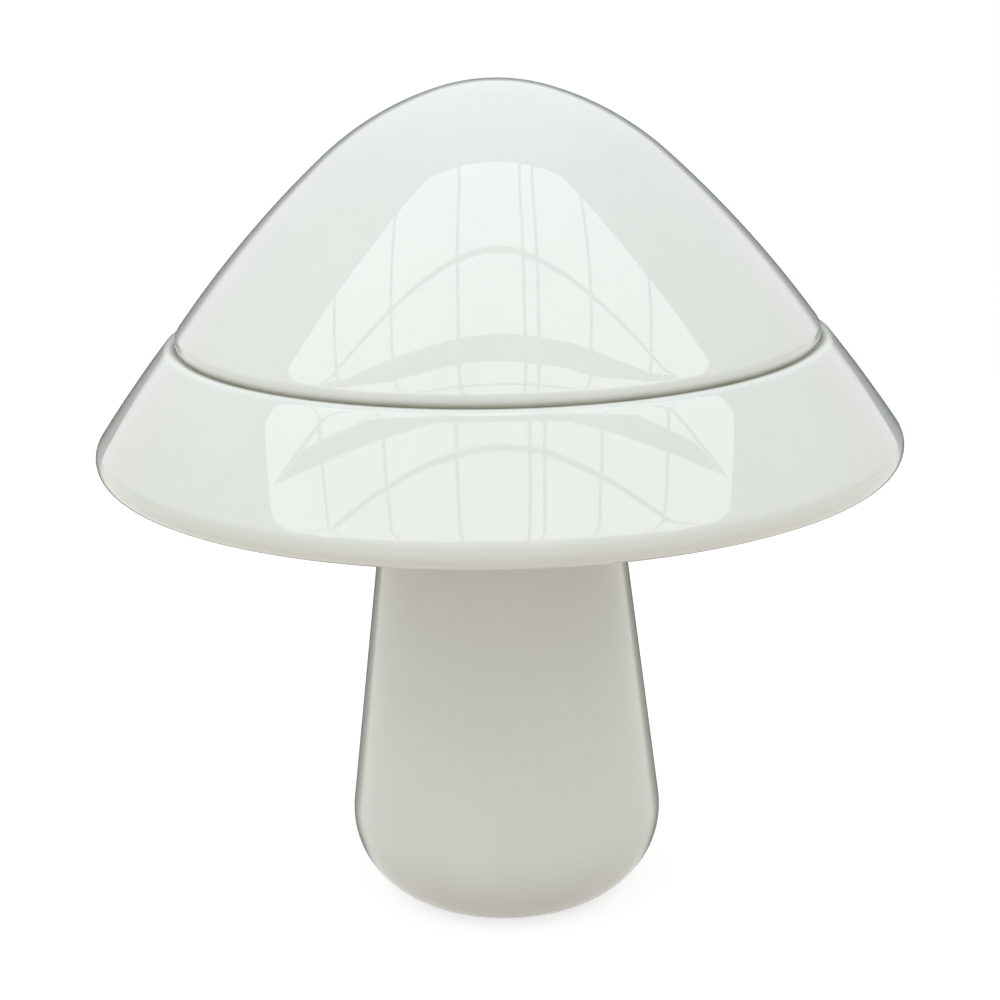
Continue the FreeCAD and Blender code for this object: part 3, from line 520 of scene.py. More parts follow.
def make_neck_dish():
    """Pressed disc with a turned-down rim, every edge eased."""
    hole = HOLDER_RADIUS + HOLDER_HOLE_PLAY
    inside = NECK_RIM_INSIDE
    outer = inside + NECK_PLATE_THICK
    bottom = NECK_PLATE_TOP - NECK_PLATE_THICK
    ease = NECK_EASE
    outline = joined(
        [(hole, bottom + ease), (hole + ease, bottom)],
        [(inside - ease, bottom), (inside, bottom - ease)],
        [(inside, NECK_RIM_LOW + ease)],
        arc((inside + ease, NECK_RIM_LOW + ease), ease, 180, 270, 4),
        arc((outer - ease, NECK_RIM_LOW + ease), ease, 270, 360, 4),
        arc((inside, bottom), NECK_PLATE_THICK, 0, 90, 10),
        [(hole + ease, NECK_PLATE_TOP)],
        arc((hole + ease, NECK_PLATE_TOP - ease), ease, 90, 180, 4),
    )
    return turned("neck_dish", outline, steps=160, closed=True, sharp=50.0)


def arm_line():
    """Middle line of an arm in the r-z plane, from its foot over the bend to its soft cap."""
    middle = NECK_PLATE_TOP + ARM_THICK / 2
    slope = math.atan2(ARM_END[1] - middle, ARM_END[0] - ARM_KNEE)
    tangent = ARM_BEND * math.tan(slope / 2)
    start = (ARM_KNEE - tangent, middle)
    centre = (start[0], middle + ARM_BEND)
    bend = arc(centre, ARM_BEND, -90, -90 + math.degrees(slope), 6)
    return joined(run((ARM_FOOT, middle), start, 8), bend, run(bend[-1], ARM_END, 24))


def arm_half_width(reach):
    """Half of the arm's width: rounded foot, taper towards the soft cap."""
    half = ARM_WIDTH / 2
    if reach > ARM_KNEE:
        t = min(1.0, (reach - ARM_KNEE) / (ARM_NARROW - ARM_KNEE))
        half += (ARM_TIP_WIDTH - ARM_WIDTH) / 2 * t
    inside = reach - ARM_FOOT
    if inside < ARM_CORNER:
        half -= ARM_CORNER - math.sqrt(max(0.0, ARM_CORNER ** 2 - (ARM_CORNER - inside) ** 2))
    return half


def make_arms():
    """Three bent steel strips with eased edges."""
    line = arm_line()
    foot = [(ARM_FOOT + ARM_CORNER * (1 - math.cos(math.radians(15 * i))), line[0][1])
            for i in range(6)]
    line = joined(foot, [p for p in line if p[0] > ARM_FOOT + ARM_CORNER])
    thick = ARM_THICK / 2
    bm = bmesh.new()
    for arm in range(3):
        spin = Matrix.Rotation(math.radians(90 + 120 * arm), 4, "Z")
        rings = []
        for i, here in enumerate(line):
            before = line[max(0, i - 1)]
            after = line[min(len(line) - 1, i + 1)]
            along = Vector((after[0] - before[0], after[1] - before[1])).normalized()
            side = Vector((-along.y, along.x))
            half = arm_half_width(here[0])
            corners = [(half, thick), (-half, thick), (-half, -thick), (half, -thick)]
            ring = []
            for quarter, (across, up) in enumerate(corners):
                for step in range(4):
                    a = math.radians(90 * quarter + 30 * step)
                    y = across - math.copysign(ARM_EASE, across) + ARM_EASE * math.cos(a)
                    n = up - math.copysign(ARM_EASE, up) + ARM_EASE * math.sin(a)
                    corner = Vector((here[0] + side.x * n, y, here[1] + side.y * n))
                    ring.append(bm.verts.new(spin @ corner))
            rings.append(ring)
        for one, other in zip(rings, rings[1:]):
            for i in range(16):
                j = (i + 1) % 16
                bm.faces.new((one[i], one[j], other[j], other[i]))
        bm.faces.new(rings[0])
        bm.faces.new(list(reversed(rings[-1])))
    return keep(bm, "carrier_strips", 50.0)


def make_feet():
    """Four soft feet with rounded lower edges and a shallow dish underneath."""
    turn_in = PAD_RADIUS - PAD_LOW_ROUND
    outline = joined(
        PAD_DISH + [(turn_in, 0.0)],
        arc((turn_in, PAD_LOW_ROUND), PAD_LOW_ROUND, -90, 0, 6),
        [(PAD_RADIUS, PAD_TOP - PAD_TOP_EDGE), (PAD_RADIUS - PAD_TOP_EDGE, PAD_TOP), (0.0, PAD_TOP)],
    )
    bm = bmesh.new()
    for index in range(4):
        foot = turned("foot", outline, steps=48, sharp=50.0)
        spin = Matrix.Rotation(math.radians(45 + 90 * index), 4, "Z")
        foot.data.transform(spin @ Matrix.Translation((PAD_PITCH, 0, 0)))
        bm.from_mesh(foot.data)
        bpy.data.objects.remove(foot)
    return keep(bm, "standing_feet", 50.0)


def make_bush():
    """Moulded cord bush: sleeve through the glass and a rounded flange outside."""
    bore = BUSH_BORE
    end = BUSH_INNER_END
    out = BUSH_OUTER_FACE + BUSH_FLANGE_THICK
    ease = 0.8 * MM
    flange_round = 1.1 * MM
    bore_edge = 0.3 * MM
    sleeve_edge = 0.4 * MM
    flange_edge = 0.2 * MM
    outline = joined(
        [(bore, end + bore_edge), (bore + bore_edge, end)],
        [(BUSH_SLEEVE - sleeve_edge, end), (BUSH_SLEEVE, end + sleeve_edge)],
        [(BUSH_SLEEVE, BUSH_OUTER_FACE)],
        [(BUSH_FLANGE - flange_edge, BUSH_OUTER_FACE), (BUSH_FLANGE, BUSH_OUTER_FACE + flange_edge)],
        arc((BUSH_FLANGE - flange_round, out - flange_round), flange_round, 0, 90, 8),
        arc((bore + ease, out - ease), ease, 90, 180, 6),
    )
    bush = turned("cord_bush", outline, steps=96, closed=True, sharp=50.0)
    bush.data.transform(Matrix.Translation((0, 0, BELLY[1])) @ TO_BACK)
    return bush


def soften(piece, width):
    """Eased edges on a node kept from the construction model."""
    weld = piece.modifiers.new("joined_corners", "WELD")
    weld.merge_threshold = 0.002 * MM
    bevel = piece.modifiers.new("eased_edges", "BEVEL")
    bevel.width = width
    bevel.segments = 2
    bevel.limit_method = "ANGLE"
    bevel.angle_limit = math.radians(40)
    bevel.harden_normals = False


# ---------------------------------------------------------------- effects that the finishes share


NUMBER = "NodeSocketFloat"
COLOUR = "NodeSocketColor"


def effect(name, inputs, outputs):
    """An empty node group with named sockets; gives the group and its two ends."""
    group = bpy.data.node_groups.new(name, "ShaderNodeTree")
    for label, kind, value in inputs:
        group.interface.new_socket(label, in_out="INPUT", socket_type=kind).default_value = value
    for label, kind in outputs:
        group.interface.new_socket(label, in_out="OUTPUT", socket_type=kind)
    return group, group.nodes.new("NodeGroupInput"), group.nodes.new("NodeGroupOutput")


def math_node(tree, operation, one, other=None):
    """One step of arithmetic on numbers or sockets."""
    node = tree.nodes.new("ShaderNodeMath")
    node.operation = operation
    for socket, value in zip(node.inputs, (one, other)):
        if value is None:
            continue
        if isinstance(value, (int, float)):
            socket.default_value = value
        else:
            tree.links.new(value, socket)
    return node.outputs[0]


def plus(tree, base, extra, share):
    """A base value with a share of another one added."""
    return math_node(tree, "ADD", base, math_node(tree, "MULTIPLY", extra, share))


def vector_node(tree, operation, one, other=None):
    """One step of vector arithmetic on a socket; the second value is a constant."""
    node = tree.nodes.new("ShaderNodeVectorMath")
    node.operation = operation
    tree.links.new(one, node.inputs[0])
    if other:
        node.inputs[1].default_value = other
    return node.outputs["Value" if operation in ("LENGTH", "DOT_PRODUCT") else "Vector"]


def spread(tree, value, low, high):
    """Map a value's band to 0..1 with soft ends."""
    node = tree.nodes.new("ShaderNodeMapRange")
    node.interpolation_type = "SMOOTHSTEP"
    node.inputs["From Min"].default_value = low
    node.inputs["From Max"].default_value = high
    tree.links.new(value, node.inputs["Value"])
    return node.outputs[0]


def noise(tree, size, detail=3.0, rough=0.5, vector=None, twist=0.0):
    """Noise whose blotches have a real size in metres, from a number or a socket."""
    node = tree.nodes.new("ShaderNodeTexNoise")
    node.inputs["Detail"].default_value = detail
    node.inputs["Roughness"].default_value = rough
    node.inputs["Distortion"].default_value = twist
    tree.links.new(math_node(tree, "DIVIDE", 1.0, size), node.inputs["Scale"])
    if vector is None:
        vector = tree.nodes.new("ShaderNodeTexCoord").outputs["Object"]
    tree.links.new(vector, node.inputs["Vector"])
    return node.outputs["Fac"]


def blend_colours(tree, mask, one, other):
    """The first colour where the mask is 0, the second where it is 1."""
    node = tree.nodes.new("ShaderNodeMix")
    node.data_type = "RGBA"
    tree.links.new(mask, node.inputs["Factor"])
    for socket, value in ((node.inputs["A"], one), (node.inputs["B"], other)):
        if isinstance(value, tuple):
            socket.default_value = value
        else:
            tree.links.new(value, socket)
    return node.outputs["Result"]


def cloud_tone():
    """Two close tones that drift into each other, as melt and moulding leave them."""
    group, first, last = effect("cloud_tone", [("Light tone", COLOUR, (1, 1, 1, 1)),
                                               ("Deep tone", COLOUR, (0.9, 0.9, 0.9, 1)),
                                               ("Patch size", NUMBER, 0.03)], [("Tone", COLOUR)])
    drift = noise(group, first.outputs["Patch size"], detail=4.0, rough=0.55, twist=0.4)
    tone = blend_colours(group, spread(group, drift, 0.3, 0.7),
                         first.outputs["Light tone"], first.outputs["Deep tone"])
    group.links.new(tone, last.inputs["Tone"])
    return group


def handled_gloss():
    """Roughness that rises in wiped and touched patches."""
    group, first, last = effect("handled_gloss", [("Clean", NUMBER, 0.1), ("Touched", NUMBER, 0.2),
                                                  ("Patch size", NUMBER, 0.03)],
                                [("Roughness", NUMBER)])
    patch = first.outputs["Patch size"]
    broad = spread(group, noise(group, patch, detail=5.0, rough=0.62, twist=0.8), 0.42, 0.72)
    fine = noise(group, math_node(group, "MULTIPLY", patch, 0.08), detail=2.0)
    mask = math_node(group, "MULTIPLY", broad, plus(group, 0.6, fine, 0.5))
    extra = math_node(group, "SUBTRACT", first.outputs["Touched"], first.outputs["Clean"])
    group.links.new(plus(group, first.outputs["Clean"], mask, extra), last.inputs["Roughness"])
    return group


def skin_relief():
    """Height of a surface's own grain or ripple."""
    group, first, last = effect("skin_relief", [("Ripple size", NUMBER, 0.001),
                                                ("Depth", NUMBER, 1.0)], [("Height", NUMBER)])
    ripple = noise(group, first.outputs["Ripple size"], detail=2.0, rough=0.45)
    height = math_node(group, "MULTIPLY", ripple, first.outputs["Depth"])
    group.links.new(height, last.inputs["Height"])
    return group


def place_and_radius(tree):
    """A point's coordinates, and its distance from the lamp's axis."""
    parts = tree.nodes.new("ShaderNodeSeparateXYZ")
    tree.links.new(tree.nodes.new("ShaderNodeTexCoord").outputs["Object"], parts.inputs[0])
    square = math_node(tree, "ADD",
                       math_node(tree, "MULTIPLY", parts.outputs["X"], parts.outputs["X"]),
                       math_node(tree, "MULTIPLY", parts.outputs["Y"], parts.outputs["Y"]))
    return parts, math_node(tree, "SQRT", square)


def turned_lines():
    """Fine rings round the lamp's axis, as turning, rolling and drawing leave them."""
    group, first, last = effect("turned_lines", [("Line width", NUMBER, 0.0003)], [("Lines", NUMBER)])
    parts, radius = place_and_radius(group)
    flat = group.nodes.new("ShaderNodeCombineXYZ")
    group.links.new(radius, flat.inputs["X"])
    group.links.new(parts.outputs["Z"], flat.inputs["Y"])
    lines = noise(group, first.outputs["Line width"], rough=0.6, vector=flat.outputs[0])
    group.links.new(lines, last.inputs["Lines"])
    return group


def specks():
    """Scattered small dots: seeds in glass, dust in a moulding, pinholes in plating."""
    group, first, last = effect("specks", [("Spacing", NUMBER, 0.01), ("Dot share", NUMBER, 0.05)],
                                [("Dots", NUMBER)])
    cells = group.nodes.new("ShaderNodeTexVoronoi")
    spot = group.nodes.new("ShaderNodeTexCoord").outputs["Object"]
    group.links.new(spot, cells.inputs["Vector"])
    group.links.new(math_node(group, "DIVIDE", 1.0, first.outputs["Spacing"]), cells.inputs["Scale"])
    dots = math_node(group, "LESS_THAN", cells.outputs["Distance"], first.outputs["Dot share"])
    group.links.new(dots, last.inputs["Dots"])
    return group


def settled_dust():
    """Thin dust on faces that look up."""
    group, first, last = effect("settled_dust", [("Amount", NUMBER, 0.3)], [("Dust_and_shade_share", NUMBER)])
    parts = group.nodes.new("ShaderNodeSeparateXYZ")
    facing = group.nodes.new("ShaderNodeNewGeometry").outputs["Normal"]
    group.links.new(facing, parts.inputs[0])
    up = spread(group, parts.outputs["Z"], 0.5, 1.0)
    loose = spread(group, noise(group, 4 * MM, detail=5.0, rough=0.7), 0.3, 0.75)
    dust_and_shade = math_node(group, "MULTIPLY", math_node(group, "MULTIPLY", up, loose),
                     first.outputs["Amount"])
    group.links.new(dust_and_shade, last.inputs["Dust_and_shade_share"])
    return group


def crease_painted_shade():
    """Painted shade in a ring-shaped crease: a patchy mask that is 1 on the ring and fades out over a
    reach.
    """
    group, first, last = effect("crease_painted_shade", [("Ring radius", NUMBER, 0.1),
                                                 ("Ring height", NUMBER, 0.1),
                                                 ("Reach", NUMBER, 0.003)], [("Dust_and_shade_share", NUMBER)])
    parts, radius = place_and_radius(group)
    off = group.nodes.new("ShaderNodeCombineXYZ")
    across = math_node(group, "SUBTRACT", radius, first.outputs["Ring radius"])
    above = math_node(group, "SUBTRACT", parts.outputs["Z"], first.outputs["Ring height"])
    group.links.new(across, off.inputs["X"])
    group.links.new(above, off.inputs["Z"])
    distance = vector_node(group, "LENGTH", off.outputs[0])
    share = math_node(group, "DIVIDE", distance, first.outputs["Reach"])
    dust_and_shade = spread(group, math_node(group, "SUBTRACT", 1.0, share), 0.0, 1.0)
    patchy = plus(group, 0.7, noise(group, 12 * MM), 0.5)
    group.links.new(math_node(group, "MULTIPLY", dust_and_shade, patchy), last.inputs["Dust_and_shade_share"])
    return group


CLOUD_TONE = cloud_tone()
HANDLED_GLOSS = handled_gloss()
SKIN_RELIEF = skin_relief()
TURNED_LINES = turned_lines()
SPECKS = specks()
SETTLED_DUST = settled_dust()
CREASE_PAINTED_SHADE = crease_painted_shade()

# ---------------------------------------------------------------- finishes


def place(tree, group, **values):
    """One shared effect in a material, with its own values."""
    node = tree.nodes.new("ShaderNodeGroup")
    node.node_tree = group
    for label, value in values.items():
        socket = node.inputs[label.replace("_", " ").capitalize()]
        socket.default_value = (*value, 1) if isinstance(value, tuple) else value
    return node.outputs[0]


DUST_TONE = (0.62, 0.6, 0.56)
STREAK_ROUGHNESS = 0.25       # what turned lines, dust and the painted crease shade add to the roughness
DUST_ROUGHNESS = 0.5
CREASE_SHADE_ROUGHNESS = 0.15
SPECK_DEPTH = 0.5             # share of the relief by which specks are sunk


def finish(name, light, deep, patch=0.03, clean=0.3, touched=0.45, ripple=0.0008, relief=0.02,
           metal=0.0, lines=None, dots=None, dot_tone=None, dust=0.0, crease=None):
    """A material from the shared effects: tones, gloss and relief, and any lines, dots, dust or
    painted crease shade.
    """
    made = bpy.data.materials.new(name)
    made.use_nodes = True
    tree = made.node_tree
    shader = tree.nodes["Principled BSDF"]
    shader.inputs["Metallic"].default_value = metal
    tone = place(tree, CLOUD_TONE, light_tone=light, deep_tone=deep, patch_size=patch)
    rough = place(tree, HANDLED_GLOSS, clean=clean, touched=touched, patch_size=patch)
    height = place(tree, SKIN_RELIEF, ripple_size=ripple, depth=relief)
    if lines:
        width, share = lines
        streaks = place(tree, TURNED_LINES, line_width=width)
        tone = blend_colours(tree, math_node(tree, "MULTIPLY", streaks, share), tone, (*deep, 1))
        rough = plus(tree, rough, streaks, STREAK_ROUGHNESS * share)
        height = plus(tree, height, streaks, relief * share)
    if dots:
        spacing, share = dots
        spots = place(tree, SPECKS, spacing=spacing, dot_share=share)
        tone = blend_colours(tree, spots, tone, (*(dot_tone or deep), 1))
        height = plus(tree, height, spots, -relief * SPECK_DEPTH)
    if dust:
        dust_and_shade = place(tree, SETTLED_DUST, amount=dust)
        tone = blend_colours(tree, dust_and_shade, tone, (*DUST_TONE, 1))
        rough = plus(tree, rough, dust_and_shade, DUST_ROUGHNESS)
    # Painted shade: a darker tone in the crease's groove, which is also made rougher
    if crease:
        radius, level, reach, painted_shade_tone = crease
        dust_and_shade = place(tree, CREASE_PAINTED_SHADE, ring_radius=radius, ring_height=level, reach=reach)
        tone = blend_colours(tree, dust_and_shade, tone, (*painted_shade_tone, 1))
        rough = plus(tree, rough, dust_and_shade, CREASE_SHADE_ROUGHNESS)
    bump = tree.nodes.new("ShaderNodeBump")
    bump.inputs["Distance"].default_value = MM
    tree.links.new(height, bump.inputs["Height"])
    tree.links.new(tone, shader.inputs["Base Color"])
    tree.links.new(rough, shader.inputs["Roughness"])
    tree.links.new(bump.outputs[0], shader.inputs["Normal"])
    return made, shader


def constants(shader, **values):
    """Numbers that are the same all over the surface."""
    for label, value in values.items():
        shader.inputs[label.replace("_", " ")].default_value = value


def make_finishes():
    """Every finish on the lamp, under the name of its slot."""
    done = {}

    def add(slot, *tones, **values):
        done[slot], shader = finish(slot, *tones, **values)
        return shader

    # The opal glass carries a painted shade: a darker warm ring in the groove between dome and skirt
    glass = add("opal_glass", (0.845, 0.862, 0.855), (0.825, 0.842, 0.836), patch=0.05,
                clean=0.018, touched=0.045, ripple=0.028, relief=0.05,
                dots=(0.019, 0.012), dot_tone=(0.74, 0.75, 0.74),
                crease=(CREASE_RADIUS, CREASE_HEIGHT, CREASE_REACH, (0.5, 0.485, 0.42)))
    constants(glass, IOR=1.5)
    ground = add("ground_glass", (0.84, 0.85, 0.845), (0.78, 0.79, 0.785), patch=0.008,
                 clean=0.5, touched=0.62, ripple=0.0003, relief=0.06)
    constants(ground, IOR=1.5)
    bulb = add("bulb_opal", (0.9, 0.89, 0.865), (0.875, 0.862, 0.83), patch=0.02,
               clean=0.2, touched=0.3, ripple=0.012, relief=0.02, dust=0.12)
    constants(bulb, Coat_Weight=0.6, Coat_Roughness=0.05)
    vitrite = add("vitrite", (0.05, 0.05, 0.06), (0.03, 0.03, 0.035), patch=0.006,
                  clean=0.06, touched=0.16, ripple=0.003, relief=0.05)
    constants(vitrite, IOR=1.6)
    add("white_steel", (0.85, 0.85, 0.83), (0.82, 0.82, 0.795), patch=0.02,
        clean=0.34, touched=0.46, ripple=0.0012, relief=0.035,
        dots=(0.006, 0.03), dot_tone=(0.76, 0.76, 0.73), dust=0.22)
    add("zinc_steel", (0.68, 0.69, 0.71), (0.56, 0.57, 0.56), patch=0.006,
        clean=0.24, touched=0.42, metal=1.0, ripple=0.0005, relief=0.02, lines=(0.0002, 0.5))
    add("cap_metal", (0.80, 0.79, 0.77), (0.70, 0.69, 0.66), patch=0.005,
        clean=0.16, touched=0.32, metal=1.0, ripple=0.001, relief=0.015, lines=(0.00035, 0.4))
    add("brass", (0.80, 0.63, 0.33), (0.62, 0.45, 0.22), patch=0.005,
        clean=0.18, touched=0.38, metal=1.0, ripple=0.0008, relief=0.015, lines=(0.0003, 0.45))
    porcelain = add("porcelain", (0.88, 0.87, 0.83), (0.84, 0.825, 0.78), patch=0.008,
                    clean=0.08, touched=0.2, ripple=0.003, relief=0.03,
                    dots=(0.003, 0.06), dot_tone=(0.6, 0.57, 0.5))
    constants(porcelain, Coat_Weight=0.5, Coat_Roughness=0.04)
    add("white_plastic", (0.85, 0.85, 0.82), (0.82, 0.815, 0.78), patch=0.012,
        clean=0.3, touched=0.42, ripple=0.0005, relief=0.02, dust=0.1)
    add("block_plastic", (0.81, 0.81, 0.77), (0.77, 0.765, 0.72), patch=0.006,
        clean=0.45, touched=0.58, ripple=0.0004, relief=0.03)
    silicone = add("clear_silicone", (0.84, 0.84, 0.81), (0.79, 0.79, 0.75), patch=0.006,
                   clean=0.38, touched=0.5, ripple=0.002, relief=0.04,
                   dots=(0.002, 0.08), dot_tone=(0.74, 0.73, 0.69))
    constants(silicone, Transmission_Weight=0.15, IOR=1.41)
    add("grey_rubber", (0.24, 0.24, 0.24), (0.2, 0.2, 0.2), patch=0.006, clean=0.68, touched=0.8,
        ripple=0.0004, relief=0.05, dots=(0.0012, 0.09), dot_tone=(0.36, 0.35, 0.33))
    for slot, light, deep in (("brown_insulation", (0.29, 0.145, 0.072), (0.24, 0.115, 0.055)),
                              ("blue_insulation", (0.085, 0.225, 0.52), (0.065, 0.19, 0.44))):
        wire = add(slot, light, deep, patch=0.01, clean=0.3, touched=0.42, ripple=0.0015,
                   relief=0.03)
        constants(wire, IOR=1.52)
    return done


# ---------------------------------------------------------------- dressing


def paint(piece, *finishes):
    """Give a piece these finishes and no others."""
    piece.data.materials.clear()
    for each in finishes:
        piece.data.materials.append(each)


def dress(piece, body, node, slot):
    """Give a drawn piece its finish and its body, and hide the node that it stands for."""
    paint(piece, FINISHES[slot])
    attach(piece, body)
    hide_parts(node)


FINISHES = make_finishes()

shade = make_shade()
dress(shade, "shade", "shade_glass", "opal_glass")


def is_ground(face):
    """The stem's cut faces, which stay matt: heel, recess, mouth and cord hole."""
    middle = face.center
    recess_reach = FOOT_RADIUS - HEEL_RING + GROUND_PLAY
    hole_reach = CORD_HOLE + GROUND_PLAY
    heel = middle.z < GLASS_LIFT + GROUND_PLAY
    recess = middle.z < RECESS_TOP + GROUND_PLAY and math.hypot(middle.x, middle.y) < recess_reach
    mouth = middle.z > NECK_HEIGHT - MOUTH_GROUND
    in_hole = middle.y > 0 and math.hypot(middle.x, middle.z - BELLY[1]) < hole_reach
    drilled = in_hole and abs(face.normal.y) < 0.2
    return heel or recess or mouth or drilled


stem = make_stem()
dress(stem, "stand", "stem_glass", "opal_glass")
stem.data.materials.append(FINISHES["ground_glass"])
for face in stem.data.polygons:
    if is_ground(face):
        face.material_index = 1

dress(make_envelope(), "bulb", "bulb_glass", "bulb_opal")
dress(make_screw_cap(), "bulb", "bulb_cap", "cap_metal")
dress(make_black_glass(), "bulb", "bulb_insulator", "vitrite")
dress(make_contact_button(), "bulb_rise_body", "bulb_tip", "zinc_steel")
dress(make_holder_sleeve(), "stand", "holder_shell", "white_plastic")
dress(make_brass_thread(), "stand", "screw_shell", "brass")
dress(make_neck_dish(), "stand", "neck_plate", "white_steel")
dress(make_arms(), "stand", "carrier_arms", "white_steel")
dress(make_feet(), "stand", "foot_pads", "grey_rubber")
dress(make_bush(), "stand", "inlet_bush", "white_plastic")

# Nodes kept from the construction model; the widths of their eased edges are in millimetres
slot_of = {row["node"]: row["material_slot"] for row in frame["record"]["subparts"]}
EASED = {"holder_ring_nut": 0.35, "arm_tip_caps": 0.4, "bottom_plate": 0.3, "tube_nuts": 0.4,
         "tube_washer": 0.15, "holder_base": 0.4, "terminal_block": 0.4, "inlet_nut": 0.4,
         "holder_terminals": 0.2, "holder_insert": 0.4, "bottom_gasket": 0.3,
         "neck_gasket": 0.3, "terminal_sleeves": 0.1}
for node, piece in frame["nodes"].items():
    if not piece.hide_render:
        paint(piece, FINISHES[slot_of[node]])
        if node in EASED:
            soften(piece, EASED[node] * MM)

# ---------------------------------------------------------------- studio


def stage_plane(name, low, high, height):
    """A level rectangle that belongs to the studio."""
    bm = bmesh.new()
    corners = [(low[0], low[1]), (high[0], low[1]), (high[0], high[1]), (low[0], high[1])]
    bm.faces.new([bm.verts.new((x, y, height)) for x, y in corners])
    plane = keep(bm, name)
    return plane


FLOOR_REACH = 30.0
SHADOW_REACH = (0.5, 1.1)     # the shadow fades out between these distances
FLOOR_TONE = (0.42, 0.42, 0.42)
FLOOR_GLOW = 0.74
FLOOR_BOUNCE = (0.71, 0.635, 0.55)      # what the floor sends back up to the lamp
WHITE = (1, 1, 1)

# Unlit side of the room, behind the lamp.  Polished glass shows it as a thin dark outline.
# Each edge is a pair of cosines between which the dark begins.  On the floor it is a
# wedge that starts in front of the lamp's axis and fades in under the lamp.
DARK_ROOM = (0.02, 0.02, 0.022)
DARK_AIM = (0.0, 0.961, -0.277)
DARK_EDGE = (0.80, 0.90)
DARK_FLOOR_AIM = (0.0, 1.0, 0.0)
DARK_FLOOR_EDGE = (0.75, 0.86)
DARK_FLOOR_START = (0.0, 0.10, 0.0)
DARK_FLOOR_FRONT = (-0.01, 0.02)


def shader_node(tree, kind, colour=None, strength=None):
    """A plain surface or light of one colour."""
    node = tree.nodes.new(kind)
    if colour:
        node.inputs["Color"].default_value = (*colour, 1)
    if strength is not None:
        node.inputs["Strength"].default_value = strength
    return node.outputs[0]


def mixed(tree, share, one, other):
    """The first shader where the share is 0, the second where it is 1."""
    node = tree.nodes.new("ShaderNodeMixShader")
    for socket, value in zip(node.inputs, (share, one, other)):
        tree.links.new(value, socket)
    return node.outputs[0]


def background_ray(tree):
    """1 where a ray comes from the camera, a reflection or through glass."""
    path = tree.nodes.new("ShaderNodeLightPath")
    seen = math_node(tree, "MAXIMUM", path.outputs["Is Camera Ray"], path.outputs["Is Glossy Ray"])
    return math_node(tree, "MAXIMUM", seen, path.outputs["Is Transmission Ray"]), path


def dark_side(tree, path, direction, aim, edge):
    """1 where polished glass sees the unlit side of the room."""
    behind = spread(tree, vector_node(tree, "DOT_PRODUCT", direction, aim), *edge)
    return math_node(tree, "MULTIPLY", path.outputs["Is Glossy Ray"], behind)


def studio_floor():
    """White floor that keeps the lamp's shadow near it; from below it isn't seen."""
    floor = stage_plane("floor", (-FLOOR_REACH, -FLOOR_REACH), (FLOOR_REACH, FLOOR_REACH), 0.0)
    made = bpy.data.materials.new("floor_paper")
    made.use_nodes = True
    tree = made.node_tree
    tree.nodes.clear()
    seen, path = background_ray(tree)
    face = tree.nodes.new("ShaderNodeNewGeometry")
    spot = face.outputs["Position"]
    near = tree.nodes.new("ShaderNodeAddShader")
    tree.links.new(shader_node(tree, "ShaderNodeBsdfDiffuse", FLOOR_TONE), near.inputs[0])
    tree.links.new(shader_node(tree, "ShaderNodeEmission", WHITE, FLOOR_GLOW), near.inputs[1])
    far = spread(tree, vector_node(tree, "LENGTH", spot), *SHADOW_REACH)
    shown = mixed(tree, far, near.outputs[0], shader_node(tree, "ShaderNodeEmission", WHITE, 1.0))
    parts = tree.nodes.new("ShaderNodeSeparateXYZ")
    tree.links.new(spot, parts.inputs[0])
    outward = vector_node(tree, "NORMALIZE", vector_node(tree, "ADD", spot, DARK_FLOOR_START))
    dark = math_node(tree, "MULTIPLY",
                     dark_side(tree, path, outward, DARK_FLOOR_AIM, DARK_FLOOR_EDGE),
                     spread(tree, parts.outputs["Y"], *DARK_FLOOR_FRONT))
    shown = mixed(tree, dark, shown, shader_node(tree, "ShaderNodeEmission", DARK_ROOM, 1.0))
    paper = mixed(tree, seen, shader_node(tree, "ShaderNodeBsdfDiffuse", FLOOR_BOUNCE), shown)
    below = math_node(tree, "MULTIPLY", face.outputs["Backfacing"], path.outputs["Is Camera Ray"])
    out = tree.nodes.new("ShaderNodeOutputMaterial")
    clear = shader_node(tree, "ShaderNodeBsdfTransparent")
    tree.links.new(mixed(tree, below, paper, clear), out.inputs["Surface"])
    paint(floor, made)


PANE_HEIGHT = 2.25
PANE_STRIPS = 12
PANE_BARS_X = [-1.85, -1.15, -0.42, 0.29, 0.44, 1.01, 1.73]
PANE_BARS_Y = [-1.29, -0.52]
PANE_LOW = (-2.6, -2.0)
PANE_HIGH = (2.6, 0.15)
BAR_WIDTH = 0.035
ARCH_MIDDLE = -1.06
ARCH_RISE = 0.10
ARCH_WIDTH = 0.16
PANE_COLOUR = (0.96, 1.0, 0.985)
PANE_LIGHT = 1.5              # the light that falls on the lamp
PANE_SHINE = 3.1              # the brightness in reflections


